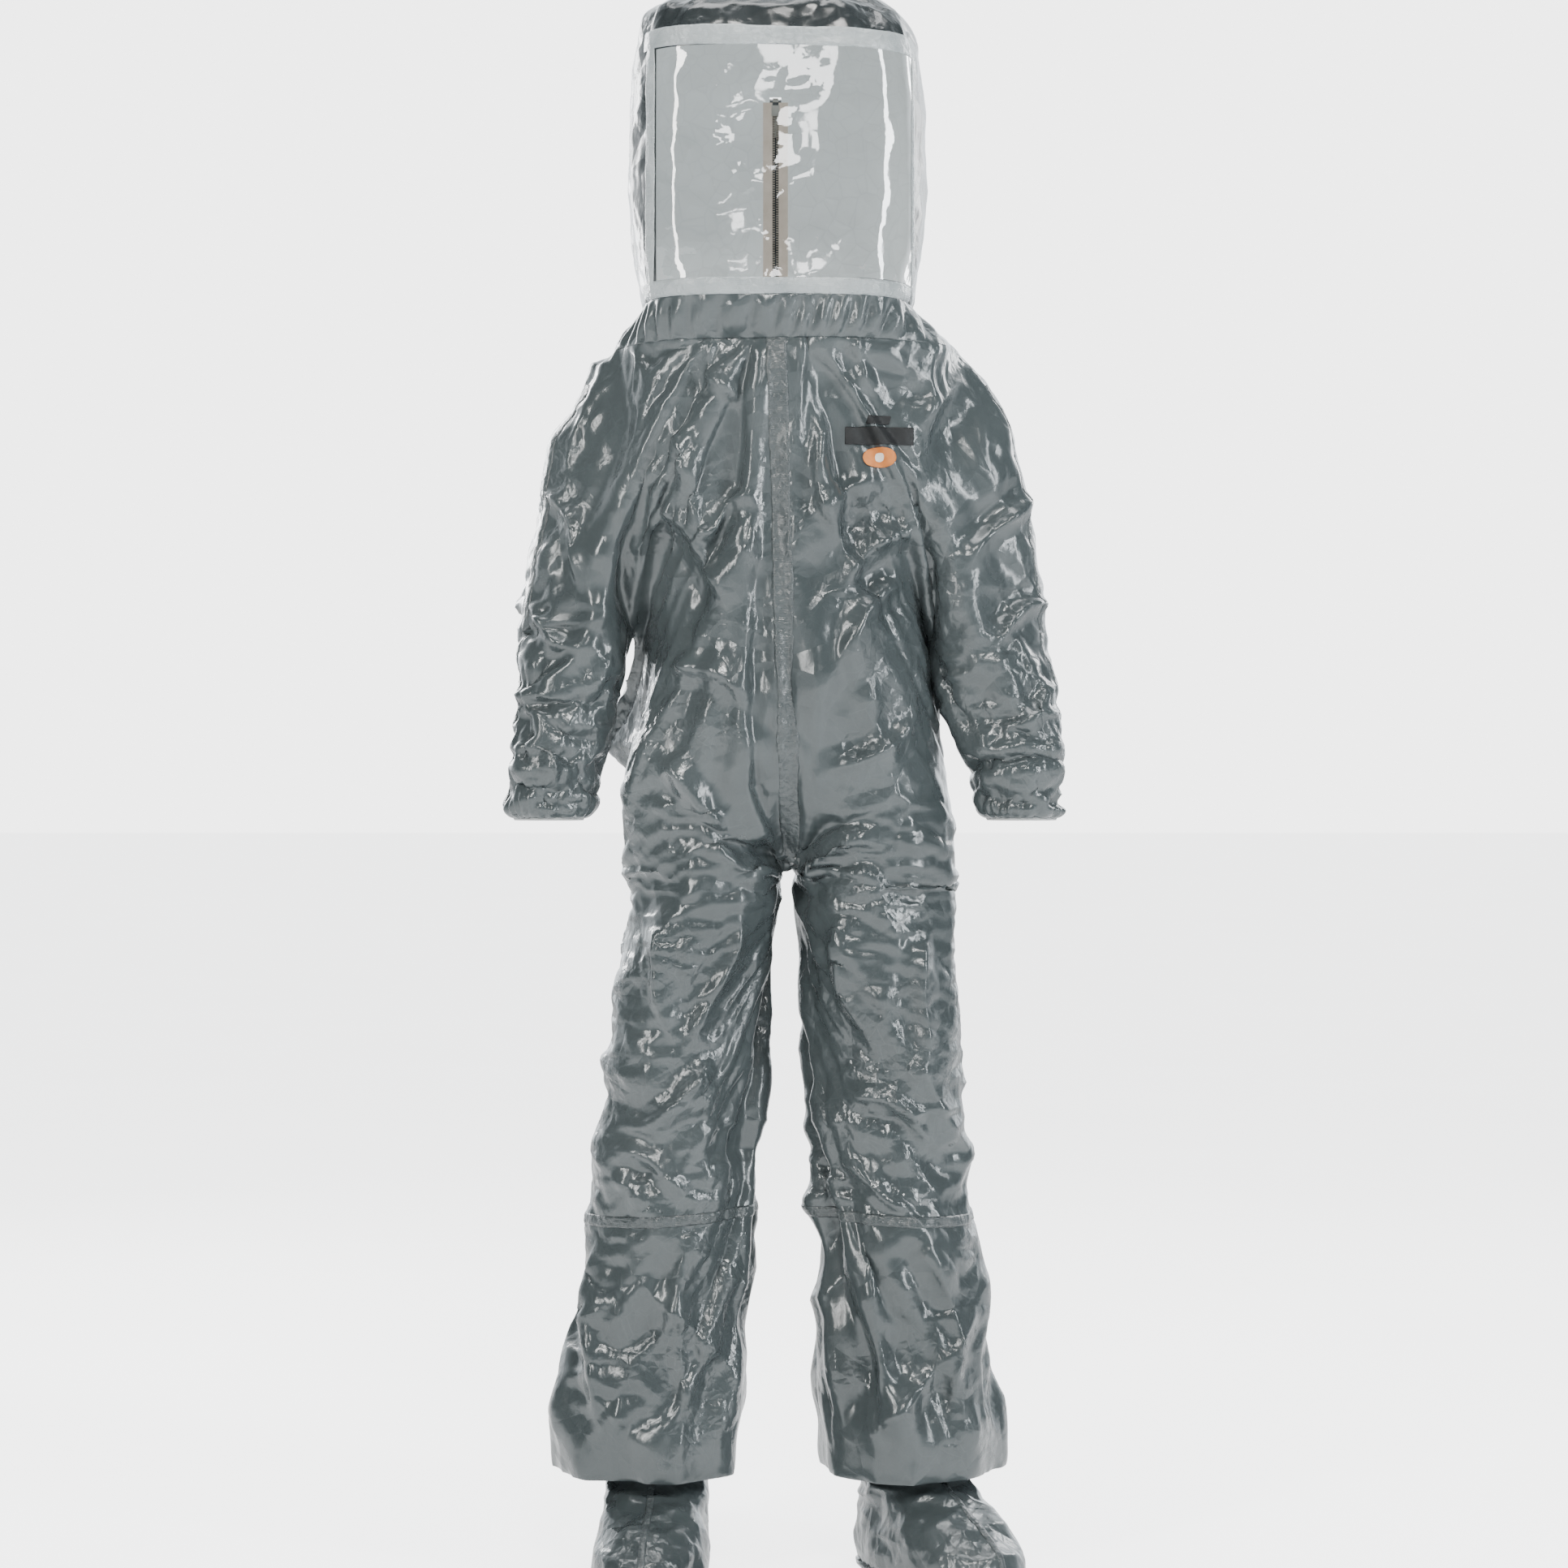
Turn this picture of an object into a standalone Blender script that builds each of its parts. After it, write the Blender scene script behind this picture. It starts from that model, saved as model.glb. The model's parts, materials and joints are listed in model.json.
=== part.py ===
"""Chemical protective suit: rear-entry hooded coverall with an expanded back, a clear face
shield, elastic cuffs, boot flaps and sock booties.

Metres, +Z up, the suit faces -Y and +X is the wearer's left. Every height below is above
the soles; the suit hangs from an empty that puts the world's origin between the wearer's
shoulders, where the suit is carried.
"""

import math

import bmesh
import bpy
from mathutils import Matrix, Vector

# ---- cloth, seams and clearances ----
FABRIC = 0.0010
TUBE_SIDES = 16
SHEET_CLEAR = 0.0010
TAPE = 0.0008
SEAM_CLEAR = 0.0006
SEAM_GAP = FABRIC + SEAM_CLEAR
LAYER_GAP = 0.0004
CARRY_HEIGHT = 1.500

# ---- hood and face shield ----
HOOD_CENTRE_X = -0.010
HOOD_BASE = 1.538
HOOD_RIM = 1.858
HOOD_TOP = 1.929
HOOD_HALF_WIDTH = ((1.538, 0.163), (1.62, 0.178), (1.72, 0.181), (1.80, 0.179), (1.858, 0.170))
HOOD_FRONT = 0.185
HOOD_POWER = 4.0
SHIELD_BAND = 0.023
# shares of the hood's half outline, 0 at the centre front and 1 at the centre back
SHIELD_EDGE = 0.232
SHIELD_TAPE_EDGE = 0.258
HOOD_SIDE_EDGE = 0.760
SEAM_SHARE = 0.001

# ---- torso ----
BACK_Y = 0.200
SEAT_Y = 0.132
TORSO_TOP = 1.521
TORSO_LOW = 1.030
TORSO_HALF_WIDTH = (
    (0.83, 0.207), (0.92, 0.203), (1.03, 0.192), (1.13, 0.173),
    (1.25, 0.178), (1.375, 0.192), (1.50, 0.205), (1.521, 0.176),
)
TORSO_FRONT = ((0.83, 0.120), (0.92, 0.136), (1.13, 0.136), (1.30, 0.146), (1.45, 0.155), (1.521, 0.165))
FRONT_POWER = 2.6
BACK_POWER = 3.2
HUMP_HEIGHT = 1.020
HUMP_REACH = 0.070
HUMP_SIDE = {"left": 0.030, "right": 0.085}
HUMP_UNDERSIDE = 0.960
HUMP_FULL = 1.055
ROWS_BELOW_ARMHOLE = (0.0, 0.025, 0.060, 0.110, 0.165)
ARMHOLE_ROWS = 8
CENTRE_TAPE_HALF_WIDTH = 0.0125

# ---- armholes and sleeves ----
ARMHOLE_MIDDLE = 1.375
ARMHOLE_HALF_HEIGHT = 0.125
ARMHOLE_HALF_DEPTH = 0.106
ARMHOLE_CLEARANCE = 0.006
SHOULDER_X = 0.191
SLEEVE_LOW = 1.215
# outer edge's x, inner edge's x, how far each has come down from the armhole, share of its depth
SLEEVE_STATIONS = (
    (0.256, 0.1805, 0.10, 0.15, 0.96), (0.288, 0.182, 0.30, 0.29, 0.90), (0.307, 0.1825, 0.53, 0.49, 0.84),
    (0.3205, 0.182, 0.80, 0.73, 0.78), (0.3245, 0.1815, 1.00, 1.00, 0.74),
)
ELBOW_HEIGHT = 1.135
ELBOW_REACH = 0.078
ELBOW_AXIS_Y = -0.010
CUFF_LOW = 0.916
CUFF_BAND = 0.029
CUFF_TOP = CUFF_LOW + CUFF_BAND
CUFF_X = 0.289
CUFF_HALF_WIDTH = 0.060
CUFF_HALF_DEPTH = 0.056
WRIST_Y = -0.030
WRIST_OPENING = 0.041
ELASTIC_RADIUS = 0.0025

# ---- legs, boot flaps and booties ----
HIP_X = {"left": 0.1170, "right": -0.1010}
LEG_KNEE_X = {"left": 0.1385, "right": -0.1455}
LEG_HEM_X = {"left": 0.1530, "right": -0.1680}
ANKLE_X = {"left": 0.1520, "right": -0.1560}
FOOT_TURN = {"left": math.radians(32.0), "right": math.radians(-4.0)}
HIP_AXIS_HEIGHT = 0.920
HIP_AXIS_Y = -0.020
THIGH_TOP = 0.812
THIGH_HALF_WIDTH = 0.098
THIGH_HALF_DEPTH = 0.108
KNEE_HEIGHT = 0.535
KNEE_REACH = 0.086
KNEE_AXIS_Y = 0.015
KNEE_HALF_WIDTH = 0.097
KNEE_HALF_DEPTH = 0.098
FLAP_HALF_WIDTH = 0.115
FLAP_HALF_DEPTH = 0.112
HEM_TOP = 0.158
HEM_LOW = 0.122
SHIN_RADIUS = 0.072
ANKLE_RADIUS = 0.062
ANKLE_TOP = 0.190
ANKLE_LOW = 0.138
ANKLE_AXIS_HEIGHT = 0.100
TOE_REACH = 0.205
HEEL_REACH = 0.085
BALL_HALF_WIDTH = 0.077
HEEL_HALF_WIDTH = 0.060
SOLE = 0.003
# height, width as a share of the foot's outline, share of the ankle's ring
BOOTIE_LEVELS = (
    (0.022, 1.0, 0.0), (0.050, 0.98, 0.04), (0.074, 0.90, 0.22), (0.094, 0.90, 0.58), (0.114, 0.95, 0.90),
)

# ---- rear closure ----
ZIP_X = -0.0125
ZIP_TOP = HOOD_RIM - 0.013
ZIP_LOW = TORSO_LOW + 0.032
ZIP_HALF_OPENING = 0.0070
ZIP_TAPE_OUTER = 0.0160
ZIP_SLIT = 0.0016
CHAIN_WIDTH = 0.0028
CHAIN_DEPTH = 0.0026
SLIDER_WIDTH = 0.0104
SLIDER_LENGTH = 0.0140
SLIDER_PLATE = 0.0012
SLIDER_WEB = 0.0008
STOP_LENGTH = 0.005
PULL_LENGTH = 0.034
PULL_WIDTH = 0.0070
PULL_THICKNESS = 0.0012
FLAP_EDGE_X = 0.0120
STORM_WIDTH = 0.062
STORM_TOP = HOOD_RIM - 0.006
STORM_LOW = TORSO_LOW + 0.022
STORM_CREST = 0.0070
STORM_PIVOT_STANDOFF = 0.0022
HOOK_WIDTH = 0.018
STRIP_INSET = 0.002
STRIP_END = 0.015

# ---- exhaust valves and label ----
VALVE_X = 0.100
VALVE_HEIGHT = 1.420
VALVE_FLANGE_RADIUS = 0.033
VALVE_TUBE_RADIUS = 0.024
VALVE_SEAT_RADIUS = 0.019
VALVE_TUBE_DEPTH = 0.008
VALVE_FLANGE = 0.002
VALVE_SEAT = 0.001
DIAPHRAGM_RADIUS = 0.0225
DIAPHRAGM_THICKNESS = 0.0012
COVER_RADIUS = 0.029
COVER_HEIGHT = 0.016
COVER_WALL = 0.0016
NOTCH_WIDTH = 0.016
NOTCH_HEIGHT = 0.006
LABEL_X = (0.070, 0.154)
LABEL_HEIGHTS = (1.342, 1.390)
LABEL_THICKNESS = 0.0006

GREY = (0.20, 0.235, 0.24)
DARK_GREY = (0.10, 0.115, 0.12)
WHITE_TAPE = (0.72, 0.75, 0.75)
CLEAR = (0.80, 0.85, 0.86)
BEIGE = (0.55, 0.48, 0.43)
BLACK = (0.03, 0.03, 0.03)
METAL = (0.45, 0.43, 0.40)

SIDES = {"left": 1.0, "right": -1.0}


def clear_scene():
    for item in list(bpy.data.objects):
        bpy.data.objects.remove(item, do_unlink=True)


def new_collection(name):
    collection = bpy.data.collections.new(name)
    bpy.context.scene.collection.children.link(collection)
    return collection


def new_material(name, colour, roughness, metallic=0.0):
    material = bpy.data.materials.new(name)
    material.use_nodes = True
    shader = material.node_tree.nodes["Principled BSDF"]
    shader.inputs["Base Color"].default_value = (*colour, 1.0)
    shader.inputs["Roughness"].default_value = roughness
    shader.inputs["Metallic"].default_value = metallic
    return material


def place(name, mesh, origin, look):
    """Link a mesh drawn in suit coordinates as an object whose origin is the given point."""
    mesh.transform(Matrix.Translation(-Vector(origin)))
    item = bpy.data.objects.new(name, mesh)
    SUIT.objects.link(item)
    item.parent = CARRIER
    item.location = origin
    mesh.materials.append(new_material(name, *look))
    return item


def thicken(item, thickness):
    """Give an open sheet its thickness on the inner side, so its outer face stays true."""
    solid = item.modifiers.new("thickness", "SOLIDIFY")
    solid.thickness = thickness
    solid.offset = -1.0
    solid.use_rim = True
    return item


def face_outward(sheet, inside):
    """Turn the sheet's faces so that most of them look away from the point inside."""
    sheet.normal_update()
    lean = sum((face.calc_center_median() - inside).dot(face.normal) * face.calc_area() for face in sheet.faces)
    if lean < 0:
        bmesh.ops.reverse_faces(sheet, faces=sheet.faces)


def bent_sheet(name, columns, rows, shape, inside, origin, look, thickness=FABRIC):
    """A grid bent to shape(across, along), both 0 to 1, and thickened on its inner side."""
    sheet = bmesh.new()
    bmesh.ops.create_grid(sheet, x_segments=columns, y_segments=rows, size=1.0)
    for vertex in sheet.verts:
        vertex.co = shape((vertex.co.x + 1.0) / 2.0, (vertex.co.y + 1.0) / 2.0)
    bmesh.ops.remove_doubles(sheet, verts=sheet.verts, dist=1e-6)
    face_outward(sheet, Vector(inside))
    mesh = bpy.data.meshes.new(name)
    sheet.to_mesh(mesh)
    sheet.free()
    mesh.shade_smooth()
    return thicken(place(name, mesh, origin, look), thickness)


def ring_tube(name, rings, sides, origin, look, thickness=FABRIC):
    """A sleeve of cloth through rings, each a centre and two half axes."""
    last = len(rings) - 1

    def shape(around, down):
        centre, across, deep = rings[round(down * last)]
        angle = 2.0 * math.pi * around
        return centre + across * math.cos(angle) + deep * math.sin(angle)

    inside = sum((ring[0] for ring in rings), Vector()) / len(rings)
    return bent_sheet(name, sides, last, shape, inside, origin, look, thickness)


def box(name, size, centre, origin, look):
    shape = bmesh.new()
    bmesh.ops.create_cube(shape, size=1.0, matrix=Matrix.Translation(centre) @ Matrix.Diagonal((*size, 1.0)))
    mesh = bpy.data.meshes.new(name)
    shape.to_mesh(mesh)
    shape.free()
    return place(name, mesh, origin, look)


def cutter(name, mesh, matrix):
    item = bpy.data.objects.new(name, mesh)
    CUTTERS.objects.link(item)
    item.parent = CARRIER
    item.matrix_local = matrix
    item.hide_render = True
    item.display_type = "WIRE"
    return item


def cut(target, tool):
    boolean = target.modifiers.new("cut_" + tool.name, "BOOLEAN")
    boolean.operation = "DIFFERENCE"
    boolean.solver = "EXACT"
    boolean.object = tool


def cylinder_mesh(name, radius, height, sides):
    shape = bmesh.new()
    bmesh.ops.create_cone(
        shape, cap_ends=True, segments=sides, radius1=radius, radius2=radius, depth=height,
        matrix=Matrix.Translation((0.0, 0.0, height / 2.0)),
    )
    mesh = bpy.data.meshes.new(name)
    shape.to_mesh(mesh)
    shape.free()
    return mesh


def ease(value):
    value = min(max(value, 0.0), 1.0)
    return value * value * (3.0 - 2.0 * value)


def mix(first, second, share):
    return first + (second - first) * share


def along(stations, level):
    """A smooth curve through (level, value) stations in rising order."""
    if level <= stations[0][0]:
        return stations[0][1]
    if level >= stations[-1][0]:
        return stations[-1][1]
    index = max(i for i, station in enumerate(stations) if station[0] <= level)
    slopes = []
    for i in (index, index + 1):
        low = stations[max(i - 1, 0)]
        high = stations[min(i + 1, len(stations) - 1)]
        slopes.append((high[1] - low[1]) / (high[0] - low[0]))
    (start, first), (end, second) = stations[index], stations[index + 1]
    span = end - start
    share = (level - start) / span
    square = share * share
    cube = square * share
    return (
        first * (2 * cube - 3 * square + 1) + second * (3 * square - 2 * cube)
        + span * (slopes[0] * (cube - 2 * square + share) + slopes[1] * (cube - square))
    )


# ---------------------------------------------------------------- hood

def hood_outline(level):
    """Points of the wearer's left half of the hood's section, evenly spaced front to back."""
    half_width = along(HOOD_HALF_WIDTH, level)
    raw = []
    for step in range(241):
        angle = math.pi * step / 240
        across = abs(math.sin(angle)) ** (2.0 / HOOD_POWER)
        depth = abs(math.cos(angle)) ** (2.0 / HOOD_POWER)
        reach = -HOOD_FRONT if math.cos(angle) > 0 else BACK_Y
        raw.append(Vector((half_width * across, reach * depth, level)))
    lengths = [0.0]
    for first, second in zip(raw, raw[1:]):
        lengths.append(lengths[-1] + (second - first).length)
    return raw, lengths


def hood_point(share, level):
    """share is 0 at the centre front, 1 at the centre back, negative on the wearer's right."""
    raw, lengths = hood_outline(level)
    target = abs(share) * lengths[-1]
    index = 0
    while index < len(raw) - 2 and lengths[index + 1] < target:
        index += 1
    part = (target - lengths[index]) / (lengths[index + 1] - lengths[index])
    point = raw[index].lerp(raw[index + 1], part)
    side = -1.0 if share < 0 else 1.0
    return Vector((HOOD_CENTRE_X + side * point.x, point.y, level))


def hood_back_share(edge_x):
    """The share of the half outline at which the back wall reaches edge_x."""
    length = hood_outline(HOOD_BASE)[1][-1]
    return 1.0 - abs(edge_x - HOOD_CENTRE_X) / length


def hood_sheet(name, start, end, low, high, columns, rows, look, thickness=FABRIC):
    def shape(across, up):
        return hood_point(mix(start, end, across), mix(low, high, up))

    inside = (HOOD_CENTRE_X, 0.0, (low + high) / 2.0)
    return bent_sheet(name, columns, rows, shape, inside, (0.0, 0.0, HOOD_BASE), look, thickness)


def make_hood():
    cloth = (GREY, 0.35)
    shell_low = HOOD_BASE + SEAM_GAP
    shell_high = HOOD_RIM - SEAM_GAP
    for side, sign in SIDES.items():
        start = sign * (SHIELD_TAPE_EDGE + SEAM_SHARE)
        hood_sheet("hood_side_" + side, start, sign * HOOD_SIDE_EDGE, shell_low, shell_high, 8, 4, (DARK_GREY, 0.35))
        edge = ZIP_X + sign * ZIP_HALF_OPENING
        end = sign * hood_back_share(edge)
        start = sign * (HOOD_SIDE_EDGE + 2.0 * SEAM_SHARE)
        hood_sheet("hood_back_" + side, start, end, shell_low, shell_high, 5, 4, cloth)
    make_crown()
    clear = (CLEAR, 0.06)
    binding = (WHITE_TAPE, 0.35)
    low = HOOD_BASE + SHIELD_BAND
    high = HOOD_RIM - SHIELD_BAND
    edge = SHIELD_EDGE - SEAM_SHARE
    hood_sheet("face_shield", -edge, edge, low, high, 12, 4, clear, SHEET_CLEAR)
    wide = SHIELD_TAPE_EDGE
    low_tape_top = low - SEAM_GAP
    high_tape_low = high + SEAM_GAP
    hood_sheet("shield_tape_bottom", -wide, wide, shell_low, low_tape_top, 12, 1, binding)
    hood_sheet("shield_tape_top", -wide, wide, high_tape_low, shell_high, 12, 1, binding)
    for side, sign in SIDES.items():
        start = sign * (SHIELD_EDGE + SEAM_SHARE)
        hood_sheet("shield_tape_" + side, start, sign * wide, low, high, 1, 4, binding)


def make_crown():
    """A soft dome whose rim follows the hood's section."""
    rim = HOOD_RIM + SEAM_GAP
    centre = Vector((HOOD_CENTRE_X, 0.0, rim))

    def shape(across, deep):
        x = 2.0 * across - 1.0
        y = 2.0 * deep - 1.0
        reach = max(abs(x), abs(y))
        if reach < 1e-6:
            return centre + Vector((0.0, 0.0, HOOD_TOP - rim))
        if abs(y) >= abs(x):
            quarter = abs(x) / reach * 0.25
            share = quarter if y < 0 else 1.0 - quarter
        else:
            share = 0.5 + y / reach * 0.25
        edge = hood_point(share if x >= 0 else -share, rim)
        spread = math.sin(reach * math.pi / 2.0)
        height = (HOOD_TOP - rim) * math.sqrt(max(0.0, 1.0 - spread ** 3))
        return centre + (edge - centre) * spread + Vector((0.0, 0.0, height))

    bent_sheet("hood_crown", 8, 8, shape, (HOOD_CENTRE_X, 0.0, HOOD_BASE), (0.0, 0.0, HOOD_BASE), (DARK_GREY, 0.35))


def make_neck_band():
    """The gathered band between the hood and the torso, open behind for the zipper."""
    def shape(around, up):
        side = 1.0 if around >= 0.5 else -1.0
        share = abs(2.0 * around - 1.0)
        edge = ZIP_X + side * ZIP_HALF_OPENING
        high = hood_point(side * share * hood_back_share(edge), HOOD_BASE - SEAM_GAP / 2.0)
        low = torso_ring_point(side, share, TORSO_TOP + SEAM_GAP / 2.0, edge)
        return low.lerp(high, up)

    bent_sheet("neck_band", 28, 1, shape, (0.0, 0.0, HOOD_BASE), (0.0, 0.0, HOOD_BASE), (GREY, 0.35))


# ---------------------------------------------------------------- torso

def torso_half_width(level):
    return along(TORSO_HALF_WIDTH, level)


def back_depth(level):
    share = ease((level - HUMP_UNDERSIDE) / (HUMP_FULL - HUMP_UNDERSIDE))
    return mix(SEAT_Y, BACK_Y, share)


def armhole_depth(level):
    height = (level - ARMHOLE_MIDDLE) / ARMHOLE_HALF_HEIGHT
    return ARMHOLE_HALF_DEPTH * math.sqrt(max(0.0, 1.0 - height * height))


def front_point(share, level, start_x=0.0):
    """The chest from start_x, share 0, to the armhole or side seam, share 1, at +X."""
    width = torso_half_width(level)
    edge_y = max(armhole_depth(level), SEAM_GAP / 2.0)
    first = start_x / width
    across = first + (1.0 - first) * math.sin(share * math.pi / 2.0) ** (2.0 / FRONT_POWER)
    fall = max(0.0, 1.0 - abs(across) ** FRONT_POWER) ** (1.0 / FRONT_POWER)
    depth = edge_y + (along(TORSO_FRONT, level) - edge_y) * fall
    return Vector((width * across, -depth, level))


def back_point(side, share, level, start_x):
    """The expanded back from start_x at the zipper, share 0, to the side, share 1."""
    width = torso_half_width(level)
    edge_y = max(armhole_depth(level), SEAM_GAP / 2.0)
    first = side * start_x / width
    across = first + (1.0 - first) * math.sin(share * math.pi / 2.0) ** (2.0 / BACK_POWER)
    fall = max(0.0, 1.0 - abs(across) ** BACK_POWER) ** (1.0 / BACK_POWER)
    depth = edge_y + (back_depth(level) - edge_y) * fall
    swell = math.exp(-((level - HUMP_HEIGHT) / HUMP_REACH) ** 2)
    name = "left" if side > 0 else "right"
    bulge = HUMP_SIDE[name] * swell * math.sin(math.pi * share) ** 2
    return Vector((side * (width * across + bulge), depth, level))


def torso_ring_point(side, share, level, edge):
    """Once round a half of the torso: share 0 at the centre front, 1 at the zipper's edge."""
    if share <= 0.5:
        point = front_point(share * 2.0, level)
        return Vector((side * point.x, point.y, level))
    return back_point(side, (1.0 - share) * 2.0, level, edge)


def torso_levels():
    """Heights of the torso's rows, close together where the armhole curves most."""
    levels = [TORSO_LOW + row for row in ROWS_BELOW_ARMHOLE]
    for step in range(ARMHOLE_ROWS + 1):
        levels.append(ARMHOLE_MIDDLE - ARMHOLE_HALF_HEIGHT * math.cos(math.pi * step / ARMHOLE_ROWS))
    levels.append((levels[-1] + TORSO_TOP) / 2.0)
    levels.append(TORSO_TOP)
    return levels


def make_torso():
    levels = torso_levels()
    rows = len(levels) - 1
    for side, sign in SIDES.items():
        def chest(across, up):
            point = front_point(across, levels[round(up * rows)], SEAM_GAP / 2.0)
            return Vector((sign * point.x, point.y, point.z))

        def rear(across, up):
            return back_point(sign, across, levels[round(up * rows)], ZIP_X + sign * ZIP_HALF_OPENING)

        bent_sheet("front_panel_" + side, 6, rows, chest, (0.0, 0.0, 1.25), (0.0, 0.0, CARRY_HEIGHT), (GREY, 0.35))
        bent_sheet("back_panel_" + side, 8, rows, rear, (0.0, 0.0, 1.25), (0.0, 0.0, CARRY_HEIGHT), (GREY, 0.35))
    make_centre_tape(levels)


def make_centre_tape(levels):
    """The welded tape down the centre front, standing on the two front panels."""
    rows = len(levels) - 1
    half_width = CENTRE_TAPE_HALF_WIDTH

    def shape(across, up):
        level = levels[round(up * rows)]
        y = -along(TORSO_FRONT, level) - LAYER_GAP - TAPE
        return Vector((mix(-half_width, half_width, across), y, level))

    bent_sheet("centre_front_tape", 2, rows, shape, (0.0, 0.0, 1.25), (0.0, 0.0, CARRY_HEIGHT), (GREY, 0.3), TAPE)


def make_label():
    """A plain two-part badge on the wearer's left chest, laid along the cloth."""
    def shape(across, up):
        x = mix(LABEL_X[0], LABEL_X[1], across)
        level = mix(LABEL_HEIGHTS[0], LABEL_HEIGHTS[1], up)
        width = torso_half_width(level)
        edge_y = armhole_depth(level)
        fall = (1.0 - (x / width) ** FRONT_POWER) ** (1.0 / FRONT_POWER)
        depth = edge_y + (along(TORSO_FRONT, level) - edge_y) * fall
        return Vector((x, -depth - 3.0 * LAYER_GAP - LABEL_THICKNESS, level))

    bent_sheet("chest_label", 8, 4, shape, (0.0, 0.0, 1.366), (0.0, 0.0, CARRY_HEIGHT), (BLACK, 0.4), LABEL_THICKNESS)


# ---------------------------------------------------------------- arms

def sleeve_ring(side, outer, inner, depth):
    sign = SIDES[side]
    first = Vector((sign * outer[0], 0.0, outer[1]))
    second = Vector((sign * inner[0], 0.0, inner[1]))
    return ((first + second) / 2.0, (first - second) / 2.0, Vector((0.0, depth, 0.0)))


def shoulder_rings(side):
    """From just inside the armhole, out over the shoulder and down the upper arm."""
    high = ARMHOLE_MIDDLE + ARMHOLE_HALF_HEIGHT - ARMHOLE_CLEARANCE
    low = ARMHOLE_MIDDLE - ARMHOLE_HALF_HEIGHT + ARMHOLE_CLEARANCE
    depth = ARMHOLE_HALF_DEPTH - ARMHOLE_CLEARANCE
    rings = [sleeve_ring(side, (torso_half_width(high), high), (torso_half_width(low), low), depth)]
    for outer_x, inner_x, outer_fall, inner_fall, depth_share in SLEEVE_STATIONS:
        outer = (outer_x, mix(high, SLEEVE_LOW, outer_fall))
        inner = (inner_x, mix(low, SLEEVE_LOW, inner_fall))
        rings.append(sleeve_ring(side, outer, inner, depth * depth_share))
    return rings


def level_ring(x, y, level, half_width, half_depth):
    return (Vector((x, y, level)), Vector((half_width, 0.0, 0.0)), Vector((0.0, half_depth, 0.0)))


def make_arm(side):
    sign = SIDES[side]
    cloth = (GREY, 0.35)
    shoulder = (sign * SHOULDER_X, 0.0, ARMHOLE_MIDDLE)
    rings = shoulder_rings(side)
    ring_tube("sleeve_upper_" + side, rings, TUBE_SIDES, shoulder, cloth)
    top = rings[-1]
    centre_x = abs(top[0].x)
    half_width = top[1].length
    half_depth = top[2].length

    def arm_ring(level):
        share = (SLEEVE_LOW - level) / (SLEEVE_LOW - CUFF_TOP)
        x = mix(centre_x, CUFF_X, share)
        wide = mix(half_width, CUFF_HALF_WIDTH, share)
        deep = mix(half_depth, CUFF_HALF_DEPTH, share)
        return level_ring(sign * x, WRIST_Y * ease(share * 1.2), level, wide, deep)

    elbow_top = SLEEVE_LOW - SEAM_GAP
    elbow_low = ELBOW_HEIGHT - ELBOW_REACH
    levels = [mix(elbow_top, elbow_low, step / 2) for step in range(3)]
    ring_tube("sleeve_elbow_" + side, [arm_ring(level) for level in levels], TUBE_SIDES, shoulder, cloth)
    fore = [arm_ring(mix(elbow_low - SEAM_GAP, CUFF_TOP, step / 3)) for step in range(4)]
    cuff_x = sign * CUFF_X
    opening = WRIST_OPENING
    fore.append(level_ring(cuff_x, WRIST_Y, mix(CUFF_TOP, CUFF_LOW, 0.6), CUFF_HALF_WIDTH * 0.94, CUFF_HALF_DEPTH * 0.94))
    fore.append(level_ring(cuff_x, WRIST_Y, CUFF_LOW, opening, opening))
    elbow = (arm_ring(ELBOW_HEIGHT)[0].x, ELBOW_AXIS_Y, ELBOW_HEIGHT)
    ring_tube("sleeve_forearm_" + side, fore, TUBE_SIDES, elbow, cloth)
    make_elastic(side, elbow)


def make_elastic(side, origin):
    """The elastic ring that gathers the cuff, lying inside its hem."""
    clear = FABRIC + LAYER_GAP + ELASTIC_RADIUS
    rings = []
    count = 6
    for step in range(count):
        angle = 2.0 * math.pi * step / count
        radius = WRIST_OPENING - ELASTIC_RADIUS * math.cos(angle)
        level = CUFF_LOW + 1.5 * clear + ELASTIC_RADIUS * math.sin(angle)
        rings.append((radius, level))

    def shape(around, section):
        radius, level = rings[round(section * count) % count]
        angle = 2.0 * math.pi * around
        x = SIDES[side] * CUFF_X + radius * math.cos(angle)
        return Vector((x, WRIST_Y + radius * math.sin(angle), level))

    band = bmesh.new()
    bmesh.ops.create_grid(band, x_segments=16, y_segments=count, size=1.0)
    for vertex in band.verts:
        vertex.co = shape((vertex.co.x + 1.0) / 2.0, (vertex.co.y + 1.0) / 2.0)
    bmesh.ops.remove_doubles(band, verts=band.verts, dist=1e-6)
    bmesh.ops.recalc_face_normals(band, faces=band.faces)
    mesh = bpy.data.meshes.new("cuff_elastic_" + side)
    band.to_mesh(mesh)
    band.free()
    place("cuff_elastic_" + side, mesh, origin, (WHITE_TAPE, 0.8))


# ---------------------------------------------------------------- legs

def leg_x(side, level):
    if level >= KNEE_HEIGHT:
        return mix(LEG_KNEE_X[side], HIP_X[side], (level - KNEE_HEIGHT) / (THIGH_TOP - KNEE_HEIGHT))
    knee_low = KNEE_HEIGHT - KNEE_REACH
    return mix(LEG_KNEE_X[side], LEG_HEM_X[side], ease((KNEE_HEIGHT - level) / (knee_low - HEM_LOW)))


def leg_ring(side, level):
    share = min(max((level - KNEE_HEIGHT) / (THIGH_TOP - KNEE_HEIGHT), 0.0), 1.0)
    width = mix(KNEE_HALF_WIDTH, THIGH_HALF_WIDTH, share)
    depth = mix(KNEE_HALF_DEPTH, THIGH_HALF_DEPTH, share)
    return level_ring(leg_x(side, level), 0.0, level, width, depth)


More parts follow.
